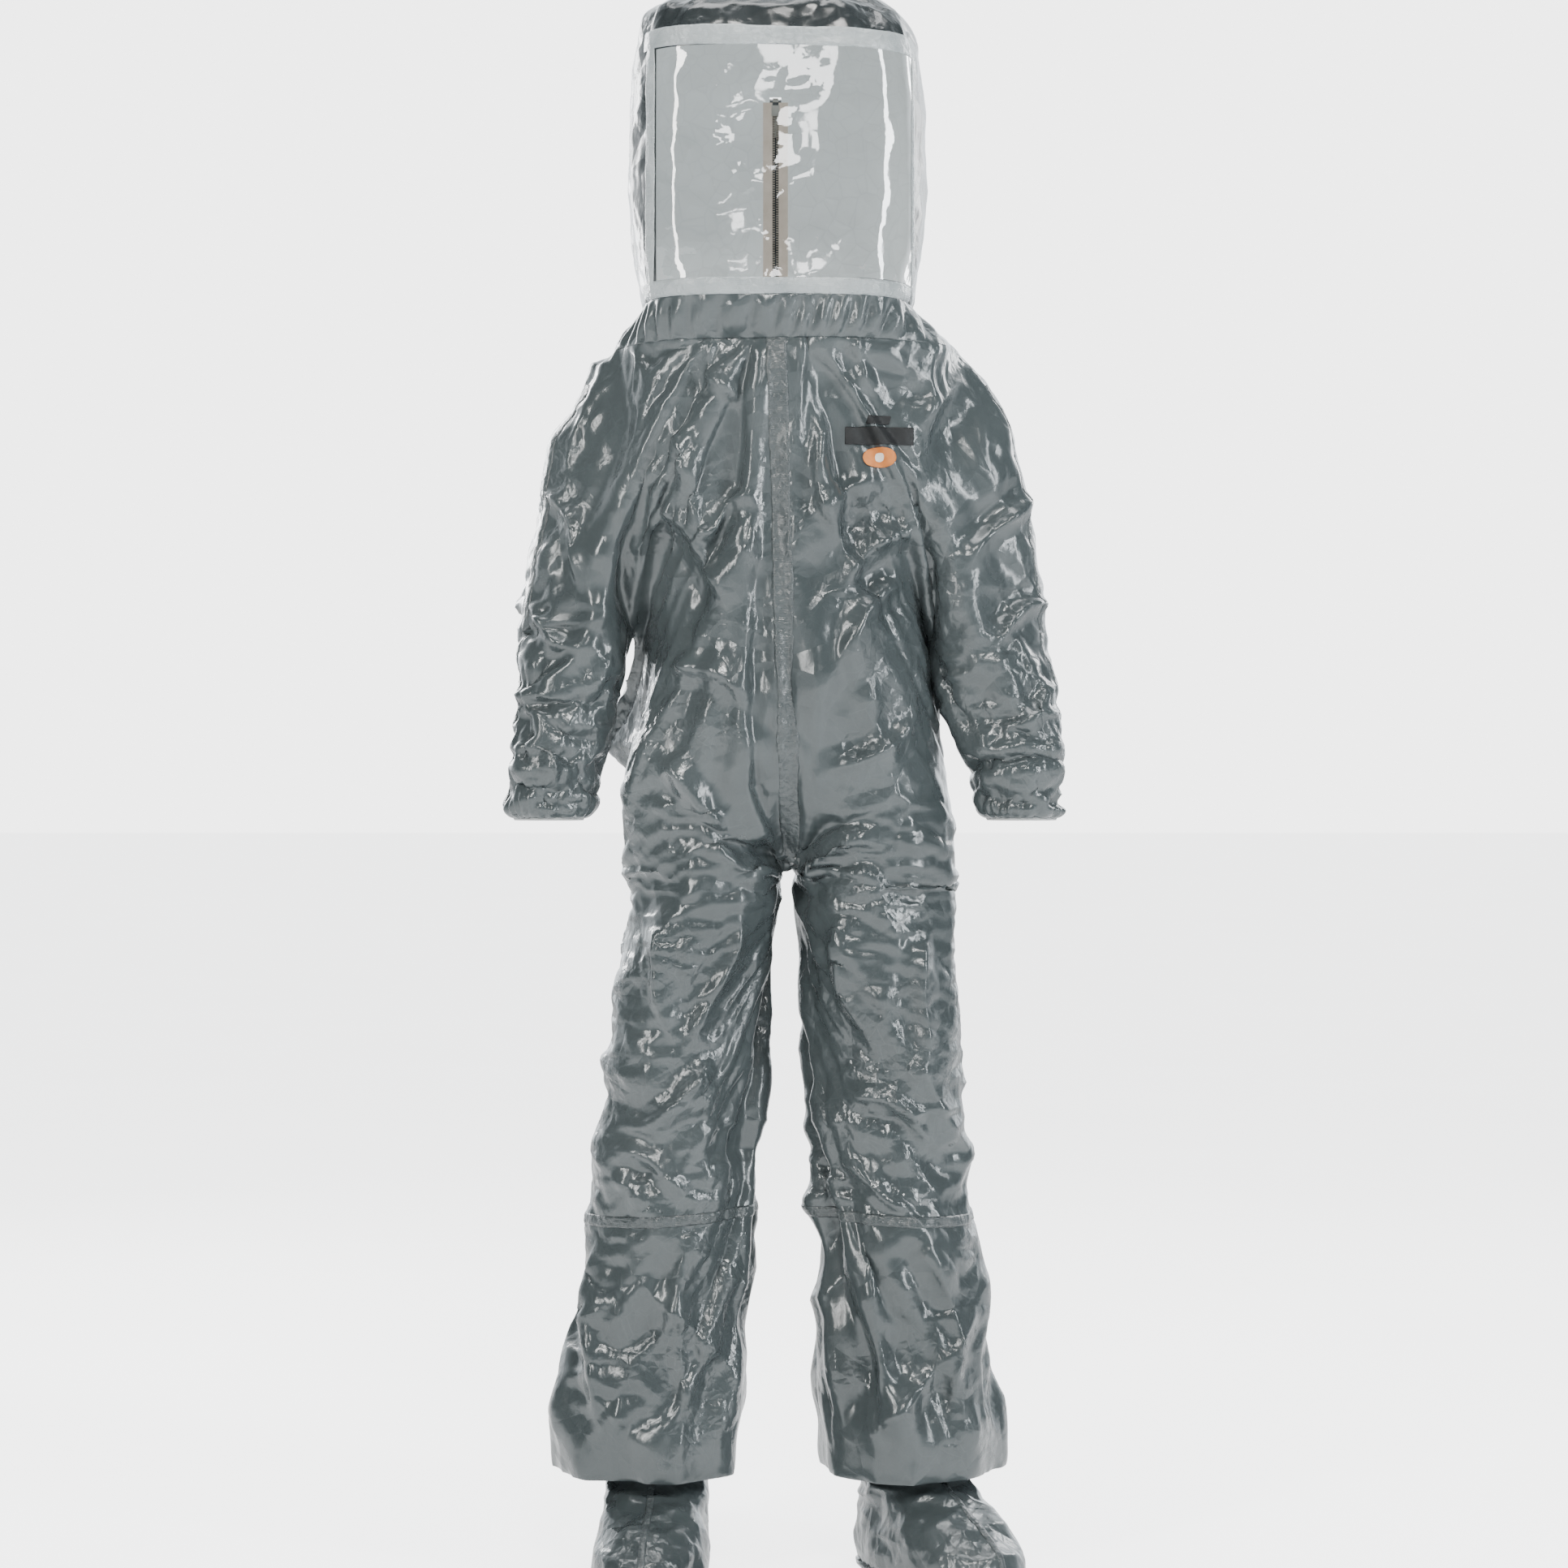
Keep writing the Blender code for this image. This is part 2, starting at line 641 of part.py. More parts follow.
def make_hip(side):
    """The seat and front of one half, from the torso's edge down to the top of the thigh."""
    sign = SIDES[side]
    high = TORSO_LOW - SEAM_GAP
    low = THIGH_TOP + SEAM_GAP
    rows = 6
    centre, across_axis, deep_axis = leg_ring(side, THIGH_TOP)
    inseam = 1.0 - SEAM_GAP / (math.pi * THIGH_HALF_WIDTH)

    def shape(around, down):
        level = mix(high, low, down)
        if around <= 0.5:
            torso = front_point(around * 2.0, level, SEAM_GAP / 2.0)
            torso.x *= sign
        else:
            torso = back_point(sign, (1.0 - around) * 2.0, level, sign * SEAM_GAP / 2.0)
        angle = math.pi * (2.0 * around - 1.0) * inseam
        leg = centre + sign * across_axis * math.cos(angle) + deep_axis * math.sin(angle)
        leg.z = level
        share = ease(down)
        edge = abs(2.0 * around - 1.0) ** 6
        point = torso.lerp(leg, share)
        point.x = mix(torso.x, leg.x, mix(share, share ** 5, edge))
        return point

    origin = (0.0, HIP_AXIS_Y, HIP_AXIS_HEIGHT)
    bent_sheet("hip_" + side, 20, rows, shape, (sign * 0.09, 0.0, HIP_AXIS_HEIGHT), origin, (GREY, 0.35))


def make_leg(side):
    cloth = (GREY, 0.35)
    hip = (HIP_X[side], HIP_AXIS_Y, HIP_AXIS_HEIGHT)
    knee = (LEG_KNEE_X[side], KNEE_AXIS_Y, KNEE_HEIGHT)
    thigh_low = KNEE_HEIGHT + KNEE_REACH
    knee_low = KNEE_HEIGHT - KNEE_REACH
    thigh = [leg_ring(side, mix(THIGH_TOP, thigh_low, step / 2)) for step in range(3)]
    ring_tube("thigh_" + side, thigh, TUBE_SIDES, hip, cloth)
    bend = [leg_ring(side, mix(thigh_low - SEAM_GAP, knee_low + SEAM_GAP, step / 2)) for step in range(3)]
    ring_tube("knee_" + side, bend, TUBE_SIDES, hip, cloth)
    make_shin(side, knee, knee_low)
    make_flap(side, knee, knee_low)


def make_shin(side, knee, high):
    """The inner leg under the boot flap and the soft stretch above the bootie."""
    def ring(level):
        share = (high - level) / (high - ANKLE_LOW)
        x = mix(leg_x(side, high), ANKLE_X[side], share)
        radius = mix(SHIN_RADIUS, ANKLE_RADIUS, share)
        return level_ring(x, 0.0, level, radius, radius)

    cloth = (GREY, 0.35)
    ring_tube("shin_" + side, [ring(high), ring(ANKLE_TOP)], 12, knee, cloth)
    bend = [ring(ANKLE_TOP - SEAM_GAP), ring(ANKLE_LOW + SEAM_GAP)]
    ring_tube("ankle_" + side, bend, 12, knee, cloth)


def make_flap(side, knee, high):
    """The free skirt over the boot and the hem band that is pulled up to reach the boot."""
    def ring(level):
        share = ease((high - level) / (high - HEM_TOP) * 0.9)
        width = mix(KNEE_HALF_WIDTH, FLAP_HALF_WIDTH, share)
        depth = mix(KNEE_HALF_DEPTH, FLAP_HALF_DEPTH, share)
        return level_ring(leg_x(side, level), 0.0, level, width, depth)

    skirt = [ring(mix(high, HEM_TOP + SEAM_GAP, step / 3)) for step in range(4)]
    ring_tube("boot_flap_" + side, skirt, TUBE_SIDES, knee, (GREY, 0.35))
    hem = [ring(HEM_TOP), ring(HEM_LOW)]
    ring_tube("flap_hem_" + side, hem, TUBE_SIDES, (LEG_HEM_X[side], 0.0, HEM_LOW), (GREY, 0.35))


def foot_outline(around):
    """The sole's outline about the ankle, toes towards -Y; around runs 0 to 1."""
    angle = 2.0 * math.pi * around
    length = TOE_REACH + HEEL_REACH
    forward = math.cos(angle)
    sideways = math.sin(angle)
    y = (HEEL_REACH - TOE_REACH) / 2.0 - length / 2.0 * math.copysign(abs(forward) ** 0.85, forward)
    toward_heel = ease((y + TOE_REACH) / length)
    half_width = mix(BALL_HALF_WIDTH, HEEL_HALF_WIDTH, toward_heel)
    return Vector((half_width * math.copysign(abs(sideways) ** 0.85, sideways), y, 0.0))


def make_foot(side):
    ankle = Vector((ANKLE_X[side], 0.0, ANKLE_AXIS_HEIGHT))
    turn = Matrix.Rotation(FOOT_TURN[side], 4, "Z")
    base = Vector((ANKLE_X[side], 0.0, 0.0))
    levels = ((SOLE + LAYER_GAP, 0.97, 0.0), *BOOTIE_LEVELS, (ANKLE_LOW, 1.0, 1.0))

    def shape(around, up):
        height, scale, share = levels[round(up * (len(levels) - 1))]
        foot = foot_outline(around) * scale
        angle = 2.0 * math.pi * around
        ring = Vector((math.sin(angle), -math.cos(angle), 0.0)) * ANKLE_RADIUS
        point = foot.lerp(ring, share)
        return base + turn @ Vector((point.x, point.y, height))

    bent_sheet("bootie_" + side, 20, len(levels) - 1, shape, base + Vector((0.0, 0.0, 0.05)), ankle, (GREY, 0.35))
    outline = bpy.data.curves.new("sole_outline_" + side, "CURVE")
    outline.dimensions = "2D"
    outline.fill_mode = "BOTH"
    outline.extrude = SOLE / 2.0
    spline = outline.splines.new("POLY")
    count = 24
    spline.points.add(count - 1)
    for index, point in enumerate(spline.points):
        place_on = turn @ foot_outline(index / count)
        point.co = (place_on.x, place_on.y, 0.0, 1.0)
    spline.use_cyclic_u = True
    sole = bpy.data.objects.new("sole_" + side, outline)
    SUIT.objects.link(sole)
    sole.parent = CARRIER
    sole.location = base + Vector((0.0, 0.0, SOLE / 2.0))
    outline.materials.append(new_material("sole_" + side, DARK_GREY, 0.5))


# ---------------------------------------------------------------- rear closure

def upright_strip(name, low_x, high_x, low_y, high_y, low, high, look):
    size = (high_x - low_x, high_y - low_y, high - low)
    centre = ((low_x + high_x) / 2.0, (low_y + high_y) / 2.0, (low + high) / 2.0)
    return box(name, size, centre, (ZIP_X, BACK_Y, ZIP_TOP), look)


def make_zipper():
    tape_outer = BACK_Y - FABRIC - 2.0 * LAYER_GAP
    tape_inner = tape_outer - TAPE
    chain_middle = (tape_outer + tape_inner) / 2.0
    chain_y = (chain_middle - CHAIN_DEPTH / 2.0, chain_middle + CHAIN_DEPTH / 2.0)
    for side, sign in SIDES.items():
        inner = ZIP_X + sign * ZIP_SLIT / 2.0
        outer = ZIP_X + sign * (ZIP_SLIT / 2.0 + CHAIN_WIDTH)
        name = "zipper_chain_" + side
        upright_strip(name, min(inner, outer), max(inner, outer), *chain_y, ZIP_LOW, ZIP_TOP, (BEIGE, 0.4))
        inner = outer + sign * LAYER_GAP
        outer = ZIP_X + sign * ZIP_TAPE_OUTER
        name = "zipper_tape_" + side
        upright_strip(name, min(inner, outer), max(inner, outer), tape_inner, tape_outer, ZIP_LOW, ZIP_TOP, (BEIGE, 0.8))
    make_slider(chain_y)
    make_stops(chain_y)


def make_slider(chain_y):
    """Two plates joined by a thin web that runs in the slit between the chains."""
    low_y, high_y = chain_y
    gap = LAYER_GAP
    top = ZIP_TOP - 0.004
    middle = top - SLIDER_LENGTH / 2.0
    origin = (ZIP_X, high_y, middle)
    profile = bmesh.new()
    inner_plate = (low_y - gap - SLIDER_PLATE, low_y - gap)
    outer_plate = (high_y + gap, high_y + gap + SLIDER_PLATE)
    half = SLIDER_WIDTH / 2.0
    web = SLIDER_WEB / 2.0
    corners = (
        (-half, inner_plate[0]), (half, inner_plate[0]), (half, inner_plate[1]), (web, inner_plate[1]),
        (web, outer_plate[0]), (half, outer_plate[0]), (half, outer_plate[1]), (-half, outer_plate[1]),
        (-half, outer_plate[0]), (-web, outer_plate[0]), (-web, inner_plate[1]), (-half, inner_plate[1]),
    )
    loop = [profile.verts.new((ZIP_X + x, y, middle - SLIDER_LENGTH / 2.0)) for x, y in corners]
    face = profile.faces.new(loop)
    grown = bmesh.ops.extrude_face_region(profile, geom=[face])
    raised = [item for item in grown["geom"] if isinstance(item, bmesh.types.BMVert)]
    bmesh.ops.translate(profile, verts=raised, vec=(0.0, 0.0, SLIDER_LENGTH))
    bmesh.ops.recalc_face_normals(profile, faces=profile.faces)
    mesh = bpy.data.meshes.new("zipper_slider")
    profile.to_mesh(mesh)
    profile.free()
    place("zipper_slider", mesh, origin, (METAL, 0.35, 0.8))
    pull_y = outer_plate[1] + gap + PULL_THICKNESS / 2.0
    pivot = (ZIP_X, pull_y, middle)
    centre = (ZIP_X, pull_y, middle - PULL_LENGTH / 2.0 + PULL_THICKNESS / 2.0)
    box("zipper_pull", (PULL_WIDTH, PULL_THICKNESS, PULL_LENGTH), centre, pivot, (METAL, 0.35, 0.8))


def make_stops(chain_y):
    """The stops that close both ends of the chain."""
    size = (ZIP_SLIT + 2.0 * CHAIN_WIDTH, chain_y[1] - chain_y[0], STOP_LENGTH)
    offset = LAYER_GAP + STOP_LENGTH / 2.0
    for name, level in (("zipper_top_stop", ZIP_TOP + offset), ("zipper_bottom_stop", ZIP_LOW - offset)):
        centre = (ZIP_X, sum(chain_y) / 2.0, level)
        box(name, size, centre, centre, (METAL, 0.35, 0.8))


def storm_shape(share):
    """Distance from the sewn edge and standoff from the back, across the storm flap."""
    x = FLAP_EDGE_X - STORM_WIDTH * share
    low = STORM_PIVOT_STANDOFF
    free = 4.0 * LAYER_GAP + 2.0 * TAPE
    settle = mix(low, free + FABRIC, ease(share * 1.6))
    crest = STORM_CREST * math.sin(math.pi * min(share * 1.5, 1.0)) ** 2
    return x, BACK_Y + settle + crest


def make_storm_flap():
    """The flap over the zipper, sewn on the wearer's left and held by hook and loop."""
    origin = (FLAP_EDGE_X, BACK_Y + STORM_PIVOT_STANDOFF - FABRIC / 2.0, (STORM_TOP + STORM_LOW) / 2.0)

    def shape(across, up):
        x, y = storm_shape(across)
        return Vector((x, y, mix(STORM_LOW, STORM_TOP, up)))

    bent_sheet("storm_flap", 10, 4, shape, (ZIP_X, 0.0, 1.45), origin, (GREY, 0.35))
    far_x = FLAP_EDGE_X - STORM_WIDTH
    loop_y = BACK_Y + LAYER_GAP
    hook_y = loop_y + TAPE + LAYER_GAP
    low = STORM_LOW + STRIP_END
    high = STORM_TOP - STRIP_END
    box_size = (HOOK_WIDTH, TAPE, high - low)
    middle = (low + high) / 2.0
    centre_x = far_x + STRIP_INSET + HOOK_WIDTH / 2.0
    box("storm_flap_loop", box_size, (centre_x, loop_y + TAPE / 2.0, middle), (0, BACK_Y, middle), (DARK_GREY, 0.9))
    box("storm_flap_hook", box_size, (centre_x, hook_y + TAPE / 2.0, middle), origin, (DARK_GREY, 0.9))


# ---------------------------------------------------------------- exhaust valves

def valve_frame(side):
    """Place and direction of a valve: on the upper back, its axis square to the cloth."""
    sign = SIDES[side]

    def surface(x, level):
        width = torso_half_width(level)
        edge_y = armhole_depth(level)
        fall = (1.0 - (x / width) ** BACK_POWER) ** (1.0 / BACK_POWER)
        return Vector((sign * x, edge_y + (back_depth(level) - edge_y) * fall, level))

    step = 0.005
    across = surface(VALVE_X + step, VALVE_HEIGHT) - surface(VALVE_X - step, VALVE_HEIGHT)
    upward = surface(VALVE_X, VALVE_HEIGHT + step) - surface(VALVE_X, VALVE_HEIGHT - step)
    normal = across.cross(upward).normalized()
    if normal.y < 0:
        normal.negate()
    spin = Vector((0.0, 0.0, 1.0)).rotation_difference(normal).to_matrix().to_4x4()
    return Matrix.Translation(surface(VALVE_X, VALVE_HEIGHT)) @ spin


def turned(name, profile, frame, look, sides=20):
    """A closed profile of (radius, height) points turned about the frame's own Z."""
    mesh = bpy.data.meshes.new(name)
    verts = [(radius, 0.0, height) for radius, height in profile]
    edges = [(i, (i + 1) % len(verts)) for i in range(len(verts))]
    mesh.from_pydata(verts, edges, [])
    item = bpy.data.objects.new(name, mesh)
    SUIT.objects.link(item)
    item.parent = CARRIER
    item.matrix_local = frame
    mesh.materials.append(new_material(name, *look))
    screw = item.modifiers.new("turn", "SCREW")
    screw.steps = sides
    screw.render_steps = sides
    screw.use_merge_vertices = True
    screw.merge_threshold = 0.00001
    screw.use_normal_flip = True
    return item


def make_valves():
    plastic = (DARK_GREY, 0.5)
    flange_low = LAYER_GAP
    flange_high = flange_low + VALVE_FLANGE
    tube_low = -VALVE_TUBE_DEPTH
    seat_high = flange_high + VALVE_SEAT
    disc_low = seat_high + LAYER_GAP
    for side in SIDES:
        frame = valve_frame(side)
        body = (
            (VALVE_SEAT_RADIUS, tube_low), (VALVE_TUBE_RADIUS, tube_low), (VALVE_TUBE_RADIUS, flange_low),
            (VALVE_FLANGE_RADIUS, flange_low), (VALVE_FLANGE_RADIUS, flange_high), (DIAPHRAGM_RADIUS, flange_high),
            (DIAPHRAGM_RADIUS, seat_high), (VALVE_SEAT_RADIUS, seat_high),
        )
        turned("exhaust_valve_body_" + side, body, frame, plastic)
        disc = cylinder_mesh("exhaust_diaphragm_" + side, DIAPHRAGM_RADIUS, DIAPHRAGM_THICKNESS, 24)
        item = bpy.data.objects.new("exhaust_diaphragm_" + side, disc)
        SUIT.objects.link(item)
        item.parent = CARRIER
        item.matrix_local = frame @ Matrix.Translation((0.0, 0.0, disc_low))
        disc.materials.append(new_material(item.name, BLACK, 0.6))
        make_cover(side, frame, flange_high + LAYER_GAP, plastic)
        hole = cylinder_mesh("valve_hole_" + side, VALVE_TUBE_RADIUS + 0.001, 0.03, 24)
        tool = cutter("valve_hole_" + side, hole, frame @ Matrix.Translation((0.0, 0.0, -0.015)))
        cut(bpy.data.objects["back_panel_" + side], tool)


def make_cover(side, frame, low, look):
    """The cap over the diaphragm, with four notches in its rim where the air leaves."""
    high = low + COVER_HEIGHT
    inner = COVER_RADIUS - COVER_WALL
    ceiling = high - COVER_WALL
    cap = cylinder_mesh("exhaust_cover_" + side, COVER_RADIUS, COVER_HEIGHT, 24)
    item = bpy.data.objects.new("exhaust_cover_" + side, cap)
    SUIT.objects.link(item)
    item.parent = CARRIER
    item.matrix_local = frame @ Matrix.Translation((0.0, 0.0, low))
    cap.materials.append(new_material(item.name, *look))
    bore = cylinder_mesh("cover_bore_" + side, inner, ceiling - low + 0.01, 24)
    cut(item, cutter("cover_bore_" + side, bore, frame @ Matrix.Translation((0.0, 0.0, low - 0.01))))
    for index in range(2):
        shape = bmesh.new()
        notch = (3.0 * COVER_RADIUS, NOTCH_WIDTH, NOTCH_HEIGHT * 2.0, 1.0)
        bmesh.ops.create_cube(shape, size=1.0, matrix=Matrix.Diagonal(notch))
        mesh = bpy.data.meshes.new("cover_notch")
        shape.to_mesh(mesh)
        shape.free()
        spin = Matrix.Rotation(math.pi / 4.0 + index * math.pi / 2.0, 4, "Z")
        matrix = frame @ Matrix.Translation((0.0, 0.0, low)) @ spin
        cut(item, cutter("cover_notch_" + side + "_" + str(index), mesh, matrix))


clear_scene()
SUIT = new_collection("chemical_protective_suit")
CUTTERS = new_collection("cutters")
CARRIER = bpy.data.objects.new("wearer_shoulders", None)
SUIT.objects.link(CARRIER)
CARRIER.location = (0.0, 0.0, -CARRY_HEIGHT)
bpy.context.view_layer.update()
make_hood()
make_neck_band()
make_torso()
make_label()
for side_name in SIDES:
    make_arm(side_name)
    make_hip(side_name)
    make_leg(side_name)
    make_foot(side_name)
make_zipper()
make_storm_flap()
make_valves()
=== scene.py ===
"""Looks of a chemical protective suit: crumpled laminate, a clear face shield, welded seam
tapes, a rear closure, boot flaps and sock booties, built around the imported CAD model.

Metres, +Z up, the suit faces -Y and +X is the wearer's left. Heights named *_HEIGHT are above
the soles; at() turns one into the frame's z.
"""
import json
import math

import bmesh
import bpy
import numpy as np
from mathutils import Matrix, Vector
from mathutils.bvhtree import BVHTree

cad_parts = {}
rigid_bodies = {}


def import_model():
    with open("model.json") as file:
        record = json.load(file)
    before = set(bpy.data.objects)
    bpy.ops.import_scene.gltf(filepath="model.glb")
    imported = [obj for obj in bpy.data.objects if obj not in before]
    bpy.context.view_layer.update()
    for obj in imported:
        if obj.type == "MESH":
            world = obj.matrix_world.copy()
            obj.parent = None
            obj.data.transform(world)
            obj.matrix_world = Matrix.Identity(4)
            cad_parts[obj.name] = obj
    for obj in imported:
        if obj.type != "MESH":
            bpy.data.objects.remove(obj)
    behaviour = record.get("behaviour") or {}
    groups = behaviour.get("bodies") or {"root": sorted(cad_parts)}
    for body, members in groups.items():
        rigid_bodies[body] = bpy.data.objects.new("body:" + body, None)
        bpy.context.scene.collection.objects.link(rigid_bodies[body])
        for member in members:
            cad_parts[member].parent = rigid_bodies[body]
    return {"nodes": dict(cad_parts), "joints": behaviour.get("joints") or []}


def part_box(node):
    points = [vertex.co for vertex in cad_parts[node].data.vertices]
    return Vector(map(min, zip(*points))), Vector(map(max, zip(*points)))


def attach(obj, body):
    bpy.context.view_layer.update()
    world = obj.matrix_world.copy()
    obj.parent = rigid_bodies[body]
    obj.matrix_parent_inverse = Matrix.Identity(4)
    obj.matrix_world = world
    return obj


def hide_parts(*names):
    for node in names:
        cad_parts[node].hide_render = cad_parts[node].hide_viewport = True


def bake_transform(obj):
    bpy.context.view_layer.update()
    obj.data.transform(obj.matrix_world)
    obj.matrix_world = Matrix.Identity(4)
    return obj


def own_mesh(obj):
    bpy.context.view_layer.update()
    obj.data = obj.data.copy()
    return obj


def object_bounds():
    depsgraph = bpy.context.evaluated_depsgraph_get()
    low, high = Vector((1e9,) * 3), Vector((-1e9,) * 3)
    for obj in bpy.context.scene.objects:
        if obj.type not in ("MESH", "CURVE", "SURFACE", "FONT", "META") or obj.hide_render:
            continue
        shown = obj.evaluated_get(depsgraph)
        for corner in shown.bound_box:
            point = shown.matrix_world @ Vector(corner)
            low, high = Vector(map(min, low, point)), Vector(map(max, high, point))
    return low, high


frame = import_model()
CAD_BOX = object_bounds()

X = Vector((1.0, 0.0, 0.0))
Y = Vector((0.0, 1.0, 0.0))
Z = Vector((0.0, 0.0, 1.0))
SIDES = {"left": 1.0, "right": -1.0}
FLOOR_Z = CAD_BOX[0][2]

# ---- sizes of the looks ----
VOXEL = 0.0085
HOOD_VOXEL = 0.006
FOOT_VOXEL = 0.005
CLOTH_FRAMES = 32
CLOTH_GROWTH = 0.055
FORM_GAP = 0.018
MOST_DRIFT = 0.034
TAPE_LIFT = 0.0009
SLOT_HALF = 0.0075
ARMHOLE_X = 0.190
ARMPIT_Z = -0.256
SLEEVE_GAP = 0.014
SHOULDER_TURN = 0.060
ARMHOLE_EDGE_X = ARMHOLE_X + 0.006
UNDERARM_Z = ARMPIT_Z - 0.033
WAIST_CUT_HEIGHT = 0.845
THIGH_CUT_HEIGHT = 0.632
KNEE_SEAM_HEIGHT = 0.449
ELBOW_CUT_HEIGHT = 1.149
SHIELD_X = (-0.1530, 0.1500)
SHIELD_HEIGHTS = (1.5600, 1.8340)
BADGE_CENTRE = (0.112, 1.378)
# heights between which the cloth would turn from one body to the next, upper and lower; move_coverall lists
# them but does not apply them
ELBOW_TURN = (1.148, 1.048)
HIP_TURN = (0.835, 0.638)
KNEE_TURN = (0.626, 0.456)
NECK_HEIGHT = 1.5195

JOINTS = {joint["name"]: joint for joint in frame["joints"]}
ZIP_X = JOINTS["zipper_pull_swing"]["pos_m"][0]
ZIP_LOW_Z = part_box("zipper_chain_left")[0][2]


def at(height):
    """The frame's z of a height above the soles."""
    return FLOOR_Z + height


def node_box(name):
    low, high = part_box(name)
    return Vector(low), Vector(high)


def smooth(value):
    value = np.clip(value, 0.0, 1.0)
    return value * value * (3.0 - 2.0 * value)


# ---------------------------------------------------------------- noise and crumples

def scatter(cells, seed):
    """A repeatable random number from 0 to 1 for each whole-number cell."""
    mixed = cells[..., 0] * 73856093 + cells[..., 1] * 19349663 + cells[..., 2] * 83492791 + seed * 2654435
    mixed = (mixed ^ (mixed >> 13)) * 1274126177
    mixed = (mixed ^ (mixed >> 16)) & 0xFFFFFF
    return mixed / float(0xFFFFFF)


def soft_noise(points, size, seed):
    """Smooth noise from -1 to 1, with features about as wide as size."""
    spots = points / size
    base = np.floor(spots).astype(np.int64)
    part = spots - base
    part = part * part * (3.0 - 2.0 * part)
    total = np.zeros(len(points))
    for corner in np.ndindex(2, 2, 2):
        step = np.array(corner)
        weight = np.prod(np.where(step, part, 1.0 - part), axis=1)
        total += weight * scatter(base + step, seed)
    return total * 2.0 - 1.0


def facets(points, size, seed):
    """Flat-sided dents and peaks with sharp creases between them, as crumpled foil has."""
    result = np.empty(len(points))
    steps = np.array(list(np.ndindex(3, 3, 3))) - 1
    for start in range(0, len(points), 40000):
        spots = points[start:start + 40000] / size
        base = np.floor(spots).astype(np.int64)
        cells = base[:, None, :] + steps[None, :, :]
        jitter = np.stack([scatter(cells, seed + axis) for axis in range(3)], axis=2)
        apart = cells + jitter - spots[:, None, :]
        nearest = np.argmin((apart ** 2).sum(axis=2), axis=1)
        rows = np.arange(len(spots))
        near = apart[rows, nearest]
        across = apart - near[:, None, :]
        length = np.sqrt((across ** 2).sum(axis=2))
        middle = (apart + near[:, None, :]) / 2.0
        edge = (middle * across).sum(axis=2) / np.maximum(length, 1e-9)
        edge[rows, nearest] = 9.0
        raised = np.where(scatter(cells[rows, nearest], seed + 7) > 0.45, 1.0, -1.0)
        result[start:start + 40000] = edge.min(axis=1) * raised
    return result * size


def warped(points, size, reach, seed):
    shift = np.stack([soft_noise(points, size, seed + axis) for axis in range(3)], axis=1)
    return points + shift * reach


# ---------------------------------------------------------------- meshes

def link(item):
    bpy.context.scene.collection.objects.link(item)
    return item


def new_object(name, verts, faces, look=None):
    mesh = bpy.data.meshes.new(name)
    mesh.from_pydata([tuple(v) for v in verts], [], faces)
    mesh.shade_smooth()
    if look is not None:
        mesh.materials.append(look)
    return link(bpy.data.objects.new(name, mesh))


def drop(item):
    bpy.data.objects.remove(item, do_unlink=True)


def vertices(mesh):
    flat = np.empty(len(mesh.vertices) * 3)
    mesh.vertices.foreach_get("co", flat)
    return flat.reshape(-1, 3)


def normals(mesh):
    flat = np.empty(len(mesh.vertices) * 3)
    mesh.vertex_normals.foreach_get("vector", flat)
    return flat.reshape(-1, 3)


def set_vertices(mesh, points):
    mesh.vertices.foreach_set("co", np.asarray(points, dtype=np.float64).ravel())
    mesh.update()


def face_centres(mesh):
    flat = np.empty(len(mesh.polygons) * 3)
    mesh.polygons.foreach_get("center", flat)
    return flat.reshape(-1, 3)


def bake(item):
    """Apply an object's modifiers to its mesh."""
    graph = bpy.context.evaluated_depsgraph_get()
    mesh = bpy.data.meshes.new_from_object(item.evaluated_get(graph))
    item.modifiers.clear()
    item.data = mesh
    return mesh


def tree_of_nodes(*names):
    verts, faces = [], []
    for name in names:
        mesh = frame["nodes"][name].data
        base = len(verts)
        verts += [v.co.copy() for v in mesh.vertices]
        faces += [[base + i for i in p.vertices] for p in mesh.polygons]
    return BVHTree.FromPolygons(verts, faces)


def tree_of(item):
    points = [Vector(p) for p in vertices(item.data)]
    return BVHTree.FromPolygons(points, [list(p.vertices) for p in item.data.polygons])


def cast_ring(tree, centre, rays, reach=0.6):
    """Where rays from outside towards the centre meet the surface; misses take their neighbours' radius."""
    radii = []
    for ray in rays:
        hit = tree.ray_cast(centre + ray * reach, -ray, reach)
        radii.append(None if hit[0] is None else reach - hit[3])
    good = [i for i, radius in enumerate(radii) if radius is not None]
    if len(good) < len(rays) // 3:
        return None
    full = np.interp(np.arange(len(rays)), good, [radii[i] for i in good], period=len(rays))
    return [centre + ray * radius for ray, radius in zip(rays, full)]


def fan(first, second, count, lift=0.0):
    """Unit rays once round, in the plane of two directions, raised by an angle towards +Z."""
    rays = []
    for step in range(count):
        angle = 2.0 * math.pi * (step + 0.5) / count
        flat = first * math.cos(angle) + second * math.sin(angle)
        rays.append(flat * math.cos(lift) + Z * math.sin(lift))
    return rays


def ring_solid(name, rings):
    """A closed solid through rings that all have the same number of points."""
    count = len(rings[0])
    verts = [point for ring in rings for point in ring]
    faces = []
    for row in range(len(rings) - 1):
        for i in range(count):
            j = (i + 1) % count
            faces.append((row * count + i, row * count + j, (row + 1) * count + j, (row + 1) * count + i))
    faces.append(tuple(reversed(range(count))))
    faces.append(tuple(range((len(rings) - 1) * count, len(rings) * count)))
    item = new_object(name, verts, faces)
    solid = bmesh.new()
    solid.from_mesh(item.data)
    bmesh.ops.recalc_face_normals(solid, faces=solid.faces)
    solid.to_mesh(item.data)
    solid.free()
    return item


